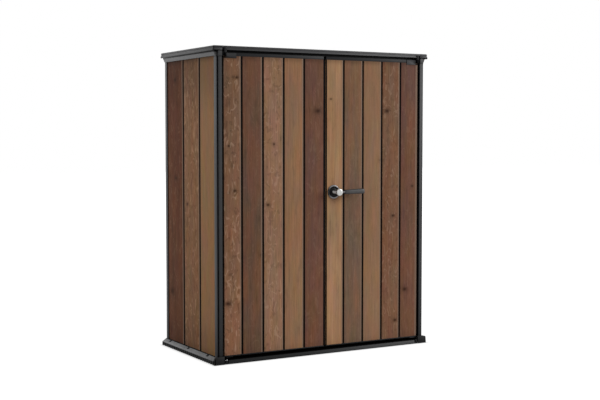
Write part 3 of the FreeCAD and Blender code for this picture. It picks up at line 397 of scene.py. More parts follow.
def print_planks(wood, across, low, high, seams, planks, knots, seed):
    """The colour, roughness and height of the print, before it is shaded and its grooves are drawn."""
    span = high - low
    starts = [0.0] + [(seam - low) / span for seam in seams]
    fields = plank_fields(wood, (across - low) / span, starts, planks)
    tone, streak, centre, ring_strength, curl, lean, haze = fields
    seed = centre * SEED_SPREAD + seed
    aside = across - (centre * span + low)

    def blots(wide, tall, shift=0.0, **settings):
        """Noise whose blots are about this many millimetres wide and tall."""
        place = wood.vector(across * (1 / (wide * MM)), seed + shift, wood.z * (1 / (tall * MM)))
        return wood.noise(place, **settings)

    sway = blots(250, 600) - 0.5
    wriggle = blots(45, 110, 3.0) - 0.5
    broad = blots(75, 420, detail=3.0, rough=0.55)
    warm = blots(60, 260, 5.0) - 0.5
    pink = blots(45, 150, 23.0) - 0.5
    smudge = blots(28, 90, 7.0, detail=3.0, rough=0.6)
    grain = blots(5.5, 170, 11.0, detail=3.0, rough=0.6)
    patches = blots(26, 38, 13.0, rough=0.55, swirl=0.8)
    figure = blots(36, 90, 19.0, detail=1.0, swirl=0.5)
    fibre = blots(1.1, 40, 17.0)

    halo, core = knot_fields(wood, across, knots)
    radius = (aside * aside + RING_HEART) ** 0.5
    radius = radius + sway * RING_SWAY + wriggle * RING_WRIGGLE - wood.z * RING_LEAN
    rings = radius / RING_PITCH + halo * KNOT_RINGS
    late = wood.step(wood.math("SINE", rings * math.tau) * 0.5 + 0.5, 0.35, 1.0)
    strokes = wood.step(wood.math("SINE", figure * STROKE_TURNS), 0.55, 0.95) * wood.step(smudge, 0.54, 0.46)
    pore = wood.step(fibre, 0.6, 0.78)
    gather = broad + (PANEL_MIDDLE - wood.z) * (lean - 0.5) * GATHER_RATE

    colour = wood.mix(wood.step(gather, 0.38, 0.62), tone, streak)
    colour = wood.tinge(colour, warm, WARM_SHARES)
    colour = wood.tinge(colour, pink, PINK_SHARES)
    colour = wood.shade(colour, UNSMUDGED - wood.step(smudge, 0.54, 0.7) * haze * SMUDGE_DEPTH)
    colour = wood.shade(colour, 1.0 - late * ring_strength * RING_DEPTH)
    colour = wood.shade(colour, grain * GRAIN_DEPTH + (1.0 - GRAIN_DEPTH / 2))
    colour = wood.shade(colour, 1.0 - wood.step(patches, 0.56, 0.64) * curl * PATCH_DEPTH)
    colour = wood.mix(strokes * curl * STROKE_SHARE, colour, STROKE_TONE)
    colour = wood.shade(colour, 1.0 - pore * PORE_DEPTH)
    colour = wood.shade(colour, 1.0 - halo * HALO_DEPTH)
    colour = wood.mix(core, colour, KNOT_TONE)
    rough = grain * 0.16 + pore * 0.1 + 0.6
    height = grain * 0.35 + fibre * 0.25 + (1.0 - late) * ring_strength * 0.4 - pore * 0.3 - core * 0.3
    return colour, rough, height


def plank_finish(
        name, side, low, high, face, seams, planks, gap_half, knots=(), dark=(), pale=(), shadows=()):
    """The print of a panel that faces one side of the cabinet. Its planks lie between low and high, the
    grooves' middles at the seams and its outer face at face; dark and pale are extra bands, as (from, to)."""
    wood = Finish(name, Specular_IOR_Level=0.06)
    lengthwise = side in ("front", "back")
    across, deep = (wood.x, wood.y) if lengthwise else (wood.y, wood.x)
    outward = 1.0 if side in ("right", "back") else -1.0
    colour, rough, height = print_planks(wood, across, low, high, seams, planks, knots, SEEDS[name])
    # Painted light: the side walls' print is made brighter than the doors', as if lit more
    colour = wood.mix(1.0, colour, FRONT_PAINTED_LIGHT if lengthwise else SIDE_PAINTED_LIGHT, "MULTIPLY")
    # Painted shade and light by height, and painted soft shadows
    dim = painted_print_shade(wood, across, FRONT_PAINTED_SHADING if lengthwise else SIDE_PAINTED_SHADING, shadows)
    colour = wood.shade(colour, 1.0 - dim)

    # Painted highlight: a pale line on one side of each groove, as if that rounded plank edge caught the
    # light
    highlight_way = outward if lengthwise else -outward
    groove, edge = seam_fields(wood, across, seams, gap_half, highlight_way)
    groove = band_field(across, dark, groove) + (wood.z < WALL_FOOT + FOOT_LINE)
    edge = band_field(across, pale, edge)
    outside = (face - deep) * outward < FACE_DEPTH
    colour = wood.mix(edge * outside * EDGE_HIGHLIGHT_SHARE, colour, EDGE_HIGHLIGHT_TONE)
    colour = wood.mix(wood.math("MINIMUM", groove * outside, 1.0), colour, GROOVE_TONE)
    return wood.surface(colour, rough, height, 0.5 * MM)


def painted_print_shade(wood, across, fades, shadows):
    """How much painted shade the print gets with the height, and in its painted soft shadows."""
    dim = 0.0
    for start, end, strength in fades:
        dim = wood.step(wood.z, start, end) * strength + dim
    for spot, height, half_wide, half_tall, strength in shadows:
        aside, along = (across - spot) / half_wide, (wood.z - height) / half_tall
        dim = wood.math("EXPONENT", (aside * aside + along * along) * -1.0) * strength + dim
    return dim


def seam_fields(wood, across, seams, gap_half, highlight_way):
    """The dark grooves, and the painted highlight along one side of each, as two values from 0 to 1."""
    groove, edge = 0.0, 0.0
    for seam in seams:
        offset = across - seam
        apart = wood.math("ABSOLUTE", offset)
        groove = wood.step(apart, (gap_half + 0.5) * MM, (gap_half - 0.7) * MM) + groove
        beside = offset * highlight_way
        fading = wood.step(beside, (gap_half + PALE_END) * MM, (gap_half + PALE_SOLID) * MM)
        edge = fading * (beside > 0.0) + edge
    return groove, edge


def band_field(across, bands, field):
    """A field with 1 added to it in each band."""
    for start, end in bands:
        field = (across > start) * (across < end) + field
    return field


def knot_fields(wood, across, knots):
    """The wide halos and the dark cores of the knots, as two values from 0 to 1."""
    halo, core = 0.0, 0.0
    for spot, height, radius in knots:
        aside = (across - spot) / (radius * KNOT_WIDE)
        along = (wood.z - height) / (radius * KNOT_TALL)
        gap = aside * aside + along * along
        halo = wood.math("EXPONENT", gap * HALO_FALL) + halo
        core = wood.math("EXPONENT", gap * CORE_FALL) * CORE_DEPTH + core
    return wood.math("MINIMUM", halo, 1.0), wood.math("MINIMUM", core, 1.0)


# Moulded resin, metal and seals

# The near-black tone of the painted shade in seams, recesses and undersides
PAINTED_SHADE_TONE = tint(9, 9, 10)
DUST_TONE = tint(146, 148, 150)
# How far aside the base's flanks begin
FLANK = 0.672
# The scales of the patterns; a pair is one scale across the vertical and one along it
PEBBLE_SCALE = 520.0
SPECK_SCALE = 900.0
CLOUD_SCALE = 5.0
FLOW_SCALES = (30.0, 4.0)
BRUSH_SCALES = (1600.0, 30.0)
SMEAR_SCALE = 60.0
POWDER_SCALE = 240.0


def in_span(place, span):
    """1 where a place lies between two values in millimetres, either of which may be None."""
    inside = 1.0
    if span[0] is not None:
        inside = (place > span[0] * MM) * inside
    if span[1] is not None:
        inside = (place < span[1] * MM) * inside
    return inside


def painted_span_shade(resin, painted_shades):
    """1 where shade is painted on seams, recesses and undersides: spans aside, in depth and in height, and a
    strength.
    """
    aside, black = resin.math("ABSOLUTE", resin.x), 0.0
    for side_span, deep_span, tall_span, strength in painted_shades:
        inside = strength
        for place, span in ((aside, side_span), (resin.y, deep_span), (resin.z, tall_span)):
            inside = in_span(place, span) * inside
        black = inside + black
    return resin.math("MINIMUM", black, 1.0)


def painted_sheen_field(resin, left_end, right_end, flank):
    """A painted sheen: how glossy the resin is from its left end to its right end, and on its flanks, as if
    lit more there.
    """
    on_flank = resin.math("ABSOLUTE", resin.x) > FLANK
    coat = resin.step(resin.x, -0.4, 0.6) * (right_end - left_end) + left_end
    return coat * (1.0 - on_flank) + on_flank * flank


def resin_finish(name, colour, rough=0.5, level=0.3, worn=0.06, painted_shades=(), painted_sheen=()):
    """Moulded resin with a fine pebbled grain, faint flow marks and dust on its upper faces. Painted shade
    turns its shaded spans near black and dull, and a painted sheen sets how glossy its left end, right end
    and flanks are."""
    resin = Finish(name, Specular_IOR_Level=level, Coat_Roughness=0.4)
    rounded = {"feature": "SMOOTH_F1"}
    pebble = resin.add("ShaderNodeTexVoronoi", rounded, Vector=resin.place, Scale=PEBBLE_SCALE)
    cloud = resin.noise(resin.place, CLOUD_SCALE, detail=4.0)
    flow = resin.noise(resin.stretched(*FLOW_SCALES), detail=3.0)
    speck = resin.noise(resin.place, SPECK_SCALE, detail=1.0)
    toned = resin.shade(colour, cloud * 0.3 + flow * 0.16 + speck * 0.12 + 0.71)
    normal = resin.add("ShaderNodeNewGeometry", out="Normal")
    dust = resin.step(resin.part(normal, "Z"), 0.55, 1.0) * resin.step(cloud, 0.35, 0.75)
    toned = resin.mix(dust * worn, toned, DUST_TONE)
    coat = painted_sheen_field(resin, *painted_sheen) if painted_sheen else None
    black = painted_span_shade(resin, painted_shades) if painted_shades else None
    # Painted shade: the shaded spans turn near black, metallic so they reflect little, and lose the painted
    # sheen
    if painted_shades:
        toned = resin.mix(black, toned, PAINTED_SHADE_TONE)
    if painted_shades and painted_sheen:
        coat = coat * (1.0 - black)
    rough = cloud * 0.14 + speck * 0.08 + (rough - 0.1)
    return resin.surface(toned, rough, pebble * 0.6 + speck * 0.4, 0.12 * MM, black, coat)


def metal_finish(name, colour, rough, metallic=1.0, painted_right_shade=0.0, glint=()):
    """Satin metal with fine brush lines round the vertical, with a painted shade on what lies right of the
    middle.
    glint, a painted highlight, is a height, how bright the metal is there and further off, where that starts
    and ends."""
    metal = Finish(name, Metallic=metallic)
    lines = metal.noise(metal.stretched(*BRUSH_SCALES))
    smear = metal.noise(metal.place, SMEAR_SCALE, detail=3.0)
    toned = metal.shade(colour, lines * 0.12 + smear * 0.12 + 0.88)
    # Painted shade on what lies right of the middle
    if painted_right_shade:
        toned = metal.shade(toned, 1.0 - (metal.x > 0.0) * painted_right_shade)
    # Painted highlight by height
    if glint:
        level, near, far, start, end = glint
        apart = metal.math("ABSOLUTE", metal.z - level)
        toned = metal.shade(toned, metal.step(apart, start, end) * (far - near) + near)
    return metal.surface(toned, smear * 0.12 + lines * 0.08 + (rough - 0.1), lines, 0.02 * MM)


def seal_finish(name):
    """Black soft seal with a dull, slightly powdery skin."""
    seal = Finish(name, Specular_IOR_Level=0.2)
    powder = seal.noise(seal.place, POWDER_SCALE, detail=3.0)
    toned = seal.shade(tint(20, 19, 20), powder * 0.5 + 0.75)
    return seal.surface(toned, powder * 0.15 + 0.65, powder, 0.08 * MM)


ANY = (None, None)
# Painted shade on the roof: in its corner joints, in the notches over its knuckles and on its side edges'
# undersides
ROOF_PAINTED_SHADES = [
    ((694, None), (None, -345), (1692, 1716), 1.0),
    ((646, 694), (None, -340), (1700, 1719), 0.3),
    ((690, None), ANY, (None, 1694), 0.75),
]
# Painted shade on the eaves: along their joints with the roof, and on their front ends
EAVE_PAINTED_SHADES = [(ANY, ANY, (1685, None), 0.75), (ANY, (None, -333), ANY, 0.7)]
# Painted shade on the posts: in their slots beside the doors, and under the eaves
POST_PAINTED_SHADES = [((None, 648.5), ANY, ANY, 1.0), ((672, None), (-350, None), (1655, None), 0.5)]
# Painted shade on the base: in the gaps between its ribs, on the sill's top, in the joints under the walls,
# on the sill's undercut and on the front ends of the lips
BASE_PAINTED_SHADES = [
    ((699, None), ANY, (None, 21.5), 0.6),
    ((None, 640), (-362, -290), (22, 27), 1.0),
    ((662, 677.5), (-340, None), (33, 39), 1.0),
    ((None, 640), (None, -350), (None, 5), 0.8),
    ((690, None), (None, -335), (None, 30), 1.0),
]
# Painted shade round the drains
for drain in (-232.5, 21, 274.5):
    BASE_PAINTED_SHADES.append(((672, 688.5), (drain - 12, drain + 12), (27, 40), 1.0))
# Painted shade on the outer ends of the feet and of the hinge leaves
FOOT_PAINTED_SHADES = [((693.5, None), ANY, ANY, 1.0)]
LEAF_PAINTED_SHADES = [((620, None), ANY, ANY, 1.0)]
# Painted highlights by height: bright along the neck's middle, dark across the rim's middle with bright top
# and bottom
NECK_GLINT = (0.918, 1.0, 0.08, 0.003, 0.012)
RIM_GLINT = (0.92, 0.15, 1.0, 0.014, 0.032)
FINISHES = {
    "roof": resin_finish("roof_resin", tint(30, 30, 32), level=0.42, painted_shades=ROOF_PAINTED_SHADES),
    "post": resin_finish("post_resin", tint(22, 22, 24), level=0.35, painted_shades=POST_PAINTED_SHADES),
    # A lighter, glossier copy of the post resin: painted light on the rear posts
    "rear": resin_finish("rear_post_resin", tint(40, 40, 42), level=0.6),
    "trim": resin_finish("trim_resin", tint(18, 18, 20), level=0.17),
    # Shaded and lit copies of one resin: the left hinge leaves are painted darker and duller, as in shade
    "left_leaf": resin_finish("left_leaf_resin", tint(14, 14, 16), level=0.12, painted_shades=LEAF_PAINTED_SHADES),
    "right_leaf": resin_finish("right_leaf_resin", tint(30, 30, 32), level=0.4, painted_shades=LEAF_PAINTED_SHADES),
    # The base's painted sheen grows from its left end to its right end and is full on its flanks
    "base": resin_finish(
        "base_resin", tint(26, 27, 28), level=0.12, worn=0.45, painted_shades=BASE_PAINTED_SHADES, painted_sheen=(0.1, 0.8, 1.0),
    ),
    "foot": resin_finish("foot_resin", tint(23, 23, 24), level=0.15, painted_shades=FOOT_PAINTED_SHADES),
    # A near-black resin on the header beam: painted shade in the gap above the doors
    "shade": resin_finish("header_shade_resin", tint(18, 18, 19), level=0.1),
    "eave": resin_finish("eave_resin", tint(92, 92, 93), level=0.5, painted_shades=EAVE_PAINTED_SHADES),
    "grip": resin_finish("grip_resin", tint(34, 33, 34), rough=0.42, level=0.45, worn=0.0),
    "dish": resin_finish("dish_enamel", tint(6, 6, 7), rough=0.4, level=0.1, worn=0.0),
    "steel": metal_finish("satin_steel", tint(172, 173, 171), 0.3),
    # A pale, barely metallic neck that shows its painted highlight
    "neck": metal_finish("brushed_neck", tint(190, 190, 188), 0.34, metallic=0.1, glint=NECK_GLINT),
    "rim": metal_finish("rim_steel", tint(112, 112, 114), 0.36, metallic=0.6, glint=RIM_GLINT),
    "dull": metal_finish("dull_steel", tint(92, 92, 94), 0.4),
    # The hinge washers on the right get a painted shade
    "washer": metal_finish("washer_zinc", tint(205, 205, 205), 0.38, painted_right_shade=0.93),
    "zinc": metal_finish("zinc_plate", tint(176, 178, 180), 0.38),
    "seal": seal_finish("edge_seal"),
}


# Modelling helpers

def start_edit(piece):
    """Selects one piece alone and opens it for editing with nothing selected in it."""
    bpy.ops.object.select_all(action="DESELECT")
    piece.select_set(True)
    bpy.context.view_layer.objects.active = piece
    bpy.ops.object.mode_set(mode="EDIT")
    bpy.ops.mesh.select_all(action="DESELECT")


def end_edit():
    bpy.ops.object.mode_set(mode="OBJECT")


def new_primitive(kind, name, **settings):
    """Adds a primitive with nothing else selected, and names it."""
    bpy.ops.object.select_all(action="DESELECT")
    getattr(bpy.ops.mesh, "primitive_" + kind + "_add")(**settings)
    piece = bpy.context.active_object
    piece.name = name
    piece.data.name = name
    return piece


def apply_modifier(piece, kind, **settings):
    """Adds a modifier and applies it."""
    modifier = piece.modifiers.new(kind.lower(), kind)
    for key, setting in settings.items():
        setattr(modifier, key, setting)
    bpy.context.view_layer.objects.active = piece
    bpy.ops.object.modifier_apply(modifier=modifier.name)


def close_piece(piece, finish, body, smooth=35.0, replaced=()):
    """Settles a finished piece at the origin, gives it its finish, and ties it to the cabinet."""
    start_edit(piece)
    bpy.ops.mesh.select_all(action="SELECT")
    bpy.ops.mesh.remove_doubles(threshold=0.01 * MM)
    bpy.ops.mesh.normals_make_consistent(inside=False)
    end_edit()
    bpy.ops.object.transform_apply(location=True, rotation=True, scale=True)
    bpy.ops.object.shade_smooth_by_angle(angle=math.radians(smooth))
    piece.data.materials.clear()
    piece.data.materials.append(finish)
    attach(piece, body)
    if replaced:
        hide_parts(*replaced)
    return piece


def soften_node(node, width, finish, reshape=None, merge_flats=True):
    """A copy of a moulded piece with its sharp edges rounded over, after any change to its form. Pieces whose
    flat faces have openings in them keep those faces in triangles."""
    piece = bpy.data.objects.new(node + "_moulded", NODES[node].data.copy())
    bpy.context.scene.collection.objects.link(piece)
    start_edit(piece)
    bpy.ops.mesh.select_all(action="SELECT")
    bpy.ops.mesh.customdata_custom_splitnormals_clear()
    bpy.ops.mesh.remove_doubles(threshold=0.02 * MM)
    if merge_flats:
        bpy.ops.mesh.dissolve_limited(angle_limit=math.radians(1.0))
    end_edit()
    if reshape:
        reshape(piece)
    apply_modifier(
        piece, "BEVEL", width=width, segments=2, limit_method="ANGLE", angle_limit=math.radians(40.0),
        miter_outer="MITER_ARC", use_clamp_overlap=True,
    )
    return close_piece(piece, finish, BODY_OF[node], smooth=24.0, replaced=(node,))


def size_ring(axis, spot, before, after):
    """Scales the selected ring about its middle from one half width and height to another."""
    across, up = after[0] / before[0], after[1] / before[1]
    value = (1.0, across, up) if axis == "x" else (across, 1.0, up)
    bpy.ops.transform.resize(value=value, center_override=spot)


def draw_out(centre, axis, stations):
    """Sizes the selected ring, of half width and height 1, for the first of its stations, and extrudes it
    through the others. A station is (place along the axis, half across, half up, shift up)."""
    pointing = Vector((1, 0, 0)) if axis == "x" else Vector((0, 1, 0))
    first = stations[0]
    size_ring(axis, centre + pointing * first[0], (1.0, 1.0), first[1:3])
    bpy.ops.transform.translate(value=(0.0, 0.0, first[3]))
    for last, station in zip(stations, stations[1:]):
        move = pointing * (station[0] - last[0]) + Vector((0, 0, station[3] - last[3]))
        bpy.ops.mesh.extrude_region_move(TRANSFORM_OT_translate={"value": move})
        spot = centre + pointing * station[0] + Vector((0, 0, station[3]))
        size_ring(axis, spot, last[1:3], station[1:3])


def turned_piece(name, centre, axis, rows, finish, body, steps, replaced=()):
    """A lathe form along an axis, from (place, radius) pairs in millimetres."""
    turn = {"x": (0.0, math.pi / 2, 0.0), "y": (math.pi / 2, 0.0, 0.0)}[axis]
    pointing = Vector((1, 0, 0)) if axis == "x" else Vector((0, 1, 0))
    spot = centre + pointing * rows[0][0] * MM
    piece = new_primitive(
        "circle", name, vertices=steps, radius=1.0, fill_type="NGON", location=spot, rotation=turn,
    )
    bpy.ops.object.transform_apply(location=True, rotation=True, scale=True)
    start_edit(piece)
    bpy.ops.mesh.select_all(action="SELECT")
    draw_out(centre, axis, [(place * MM, radius * MM, radius * MM, 0.0) for place, radius in rows])
    end_edit()
    return close_piece(piece, FINISHES[finish], body, smooth=32.0, replaced=replaced)


# Planks

def move_where(piece, wanted, move):
    """Moves the corners that a test picks out."""
    start_edit(piece)
    bpy.ops.mesh.select_mode(type="VERT")
    end_edit()
    for vertex in piece.data.vertices:
        vertex.select = wanted(vertex.co)
    bpy.ops.object.mode_set(mode="EDIT")
    bpy.ops.transform.translate(value=move)
    end_edit()


def flare_grooves(lengthwise, seams, face, widen):
    """A change of form: every groove gets wider walls, and a shallow flare at its mouth."""
    along = Vector((1, 0, 0)) if lengthwise else Vector((0, 1, 0))
    through = Vector((0, 1, 0)) if lengthwise else Vector((1, 0, 0))

    def move_edge(piece, seam, side, reach, shift):
        """Moves the corners on one side of a groove that lie within reach of its middle, in millimetres."""
        def wanted(corner):
            offset = (corner.dot(along) - seam) * side / MM
            return reach[0] < offset < reach[1] and abs(corner.dot(through) - face) < CORNER_DEPTH * MM
        move_where(piece, wanted, along * side * shift * MM)

    def reshape(piece):
        for seam in seams:
            for side in (-1, 1):
                move_edge(piece, seam, side, MOUTH_REACH, widen + MOUTH_FLARE)
                move_edge(piece, seam, side, WALL_REACH, widen)

    return reshape


def wood_panel(node, name, side, seams, planks, widen, **marks):
    """Gives one panel its plank print and softened edges, and its grooves their flare."""
    low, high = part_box(node)
    lengthwise = side in ("front", "back")
    first, last = (low.x, high.x) if lengthwise else (low.y, high.y)
    face = {"front": low.y, "back": high.y, "left": low.x, "right": high.x}[side]
    finish = plank_finish(name, side, first, last, face, seams, planks, GROOVE_PAINT + widen, **marks)
    change = flare_grooves(lengthwise, seams, face, widen)
    soften_node(node, 0.7 * MM, finish, reshape=change, merge_flats=False)


def dress_doors():
    """The two plank doors."""
    low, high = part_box("left_door_panel")
    seams = [low.x + LEFT_FIRST_SEAM + DOOR_PITCH * index for index in range(4)]
    dark = [(low.x - MM, low.x + DOOR_DARK_END), (high.x - DOOR_DARK_END, high.x + MM)]
    wood_panel(
        "left_door_panel", "left_door_planks", "front", seams, LEFT_DOOR_PLANKS, DOOR_WIDEN,
        knots=LEFT_DOOR_KNOTS, dark=dark,
    )
    low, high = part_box("right_door_panel")
    seams = [low.x + RIGHT_FIRST_SEAM + DOOR_PITCH * index for index in range(4)]
    dark = [(low.x - MM, low.x + LATCH_DARK_END)]
    pale = [(high.x - DOOR_PALE_END, high.x + MM)]
    wood_panel(
        "right_door_panel", "right_door_planks", "front", seams, RIGHT_DOOR_PLANKS, DOOR_WIDEN,
        knots=RIGHT_DOOR_KNOTS, dark=dark, pale=pale, shadows=[ROSETTE_SHADOW],
    )


def dress_walls():
    """The side walls and the two back panels."""
    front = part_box("left_wall")[0].y
    seams = [front + SIDE_FIRST_SEAM + SIDE_PITCH * index for index in range(2)]
    dark = [(front - MM, front + WALL_DARK_END)]
    wood_panel(
        "left_wall", "left_wall_planks", "left", seams, LEFT_WALL_PLANKS, WALL_WIDEN,
        knots=LEFT_WALL_KNOTS, dark=dark,
    )
    wood_panel(
        "right_wall", "right_wall_planks", "right", seams, RIGHT_WALL_PLANKS, WALL_WIDEN,
        knots=RIGHT_WALL_KNOTS, dark=dark,
    )
    wood_panel(
        "back_left_wall", "back_left_planks", "back", [-BACK_PITCH * 2, -BACK_PITCH], BACK_LEFT_PLANKS,
        WALL_WIDEN, knots=BACK_LEFT_KNOTS,
    )
    wood_panel(
        "back_right_wall", "back_right_planks", "back", [BACK_PITCH, BACK_PITCH * 2], BACK_RIGHT_PLANKS,
        WALL_WIDEN, knots=BACK_RIGHT_KNOTS,
    )


# Moulded trim and latch parts

# How wide each piece's rounded edges are in millimetres, and its finish; {} stands for left and right
SIDED_TRIM = [
    ("front_{}_post", 0.9, "post"),
    ("rear_{}_post", 0.9, "rear"),
    ("front_{}_post_cap", 0.8, "post"),
    ("front_{}_foot", 1.0, "foot"),
    ("{}_eave_strip", 0.8, "eave"),
    ("{}_door_top_rail", 0.8, "trim"),
    ("{}_door_bottom_rail", 0.6, "trim"),
    ("{}_door_edge_seal", 0.8, "seal"),
    ("upper_{}_hinge_leaf", 0.35, "{}_leaf"),
    ("upper_{}_hinge_bracket", 0.35, "trim"),
    ("lower_{}_hinge_leaf", 0.35, "{}_leaf"),
    ("lower_{}_hinge_bracket", 0.35, "trim"),
]
SINGLE_TRIM = [
    ("roof_panel", 0.8, "roof"),
    ("floor_panel", 0.7, "base"),
    ("header_beam", 0.8, "shade"),
    ("back_joint_strip", 0.5, "trim"),
    ("hinge_pins", 0.3, "trim"),
    ("hinge_washers", 0.3, "washer"),
    ("keeper_plate", 0.3, "zinc"),
    ("latch_tongue", 0.3, "zinc"),
    ("inner_rosette", 0.3, "zinc"),
    ("spindle_nut", 0.3, "zinc"),
    ("upper_bolt", 0.5, "zinc"),
    ("lower_bolt", 0.5, "zinc"),
    ("upper_bolt_guide", 0.5, "zinc"),
    ("lower_bolt_guide", 0.5, "zinc"),
]


def dress_trim():
    """The dark frame, the eaves, the doors' rails, the hinges, the latch and the bolts."""
    for side in ("left", "right"):
        for node, width, finish in SIDED_TRIM:
            soften_node(node.format(side), width * MM, FINISHES[finish.format(side)])
    for node, width, finish in SINGLE_TRIM:
        soften_node(node, width * MM, FINISHES[finish])


# The lever handle

RIM_ROWS = [(0, 39.3), (-3.2, 39.3), (-5.6, 38.2), (-7.6, 35), (-7.8, 33), (-7, 31.4), (-3, 31)]
DISH_ROWS = [
    (-0.4, 31.4), (-5.2, 31.4), (-5.8, 30.4), (-4.8, 27), (-4.4, 22), (-4.8, 17.5), (-6.4, 15), (-7.8, 14.4),
]
# Round handle parts, as (distance, radius) pairs in millimetres: those measured from the back end, and then
# those measured from the front end
NECK_ENDS = ([(0, 10.4), (1.6, 10), (3, 9.4)], [(7, 9.2), (3, 10), (0, 11.4)])
HEAD_ENDS = ([(0, 13), (1.2, 15.2), (3, 16)], [(2.6, 16), (1, 15.4), (0, 14.4)])
CAP_ENDS = (
    [(0, 17.2), (0.8, 19), (2, 19.8)],
    [(3.2, 20), (1.4, 19.5), (0.5, 18.4), (0.1, 16.4), (0, 12)],
)
# The grip's rounded corners, as a share of its half width
GRIP_CORNER = 0.62


def build_handle():
    """The rosette, neck, head and cap, all about one axis square to the door, the lever and the spindle."""
    low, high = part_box("handle_rosette")
    axis = Vector(((low.x + high.x) / 2, high.y, (low.z + high.z) / 2))
    turned_piece("rosette_rim", axis, "y", RIM_ROWS, "rim", "right_door", 72)
    turned_piece(
        "rosette_dish", axis, "y", DISH_ROWS, "dish", "right_door", 64, ("handle_rosette",),
    )
    turn_handle_part("lever_neck", "handle_neck", axis, NECK_ENDS, "neck", 48)
    turn_handle_part("lever_head", "handle_hub", axis, HEAD_ENDS, "neck", 56)
    turn_handle_part("lever_cap", "handle_cap", axis, CAP_ENDS, "steel", 64)
    low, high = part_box("handle_hub")
    build_lever(Vector((axis.x, (low.y + high.y) / 2, axis.z)), high.x)
    soften_node("handle_spindle", 0.3 * MM, FINISHES["zinc"])


def turn_handle_part(name, node, axis, ends, finish, steps):
    """One round part of the handle, as long as its own solid."""
    low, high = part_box(node)
    long = (high.y - low.y) / MM
    back, front = ends
    rows = [(-gap, radius) for gap, radius in back] + [(gap - long, radius) for gap, radius in front]
    centre = Vector((axis.x, high.y, axis.z))
    turned_piece(name, centre, "y", rows, finish, "handle", steps, (node,))


def build_lever(middle, collar_end):
    """The collar on the head's side and the dark grip that it holds."""
    reach = (collar_end - middle.x) / MM
    collar = [
        (12, 7.4), (reach - 10, 7.2), (reach - 9.4, 6.6), (reach - 7.6, 6.6), (reach - 7, 7.6),
        (reach - 1, 8), (reach, 7.6),
    ]
    turned_piece("lever_collar", middle, "x", collar, "dull", "handle", 40)
    low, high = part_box("handle_grip")
    root = Vector((low.x, middle.y, middle.z))
    root_half, long = (middle.z - low.z) / MM, (high.x - low.x) / MM
    flare = (high.z - middle.z) / MM - root_half
    thick = (high.y - low.y) / 2
    piece = new_primitive("plane", "lever_grip", size=2.0, location=root, rotation=(0.0, math.pi / 2, 0.0))
    bpy.ops.object.transform_apply(location=True, rotation=True, scale=True)
    start_edit(piece)
    bpy.ops.mesh.select_all(action="SELECT")
    bpy.ops.mesh.bevel(offset=GRIP_CORNER, segments=5, affect="VERTICES", profile=0.5)
    # Places along the grip in millimetres, with a share of the full thickness and a drop in millimetres
    rows = [
        (0.0, 0.84, 0.0), (1.6, 0.94, 0.0), (4.0, 1.0, 0.0), (long * 0.3, 1.0, 0.0), (long * 0.6, 1.0, 0.0),
        (long - 12, 1.0, 0.0), (long - 6, 0.97, -0.6), (long - 2.6, 0.88, -1.6), (long - 0.8, 0.74, -2.6),
        (long, 0.58, -3.4),
    ]
    stations = []
    for place, share, drop in rows:
        rise = flare * place / long
        half_up = (root_half + rise / 2) * share
        stations.append((place * MM, thick * share, half_up * MM, (rise / 2 + drop) * MM))
    draw_out(root, "x", stations)
    end_edit()
    close_piece(piece, FINISHES["grip"], "handle", smooth=40.0, replaced=("handle_grip",))


# Screws

SCREW_RADIUS = 3.4 * MM
SCREW_TALL = 1.6 * MM
# How far the screws lie from the keeper's edges, from the ends and the middle line of the bolt guides, whose
# base plates are thin, and from the middle of the inner rosette, at these turns in degrees
KEEPER_INSET = 6.5 * MM
GUIDE_INSET = 24 * MM
GUIDE_ASIDE = 8.5 * MM
GUIDE_PLATE = 3 * MM
ROSETTE_REACH = 20 * MM
ROSETTE_TURNS = (35, 155, 275)


def model_screw(name):
    """A domed screw head with a hollow top, standing on the XY plane."""
    screw = new_primitive("circle", name, vertices=18, radius=SCREW_RADIUS, fill_type="NGON")
    start_edit(screw)
    bpy.ops.mesh.select_all(action="SELECT")
    for rise, ratio in ((0.45, 1.0), (0.35, 0.86), (0.2, 0.72)):
        bpy.ops.mesh.extrude_region_move(TRANSFORM_OT_translate={"value": (0, 0, SCREW_TALL * rise)})
        bpy.ops.transform.resize(value=(ratio, ratio, 1.0), center_override=(0, 0, 0))
    bpy.ops.mesh.inset(thickness=SCREW_RADIUS * 0.24, depth=0.0)
    bpy.ops.mesh.extrude_region_move(TRANSFORM_OT_translate={"value": (0, 0, -SCREW_TALL * 0.6)})
    end_edit()
    return screw


def place_screws(name, places, body):
    """Copies of one screw head that face the back, joined as one piece."""
    heads = [model_screw(name)]
    for _ in places[1:]:
        head = heads[0].copy()
        head.data = heads[0].data.copy()
        bpy.context.scene.collection.objects.link(head)
        heads.append(head)
    for head, spot in zip(heads, places):
        head.location = spot
        head.rotation_euler = (-math.pi / 2, 0, 0)
    bpy.ops.object.select_all(action="DESELECT")
    for head in heads:
        head.select_set(True)
    bpy.context.view_layer.objects.active = heads[0]
    bpy.ops.object.join()
    bpy.ops.object.transform_apply(location=True, rotation=True, scale=True)
    close_piece(heads[0], FINISHES["zinc"], body)


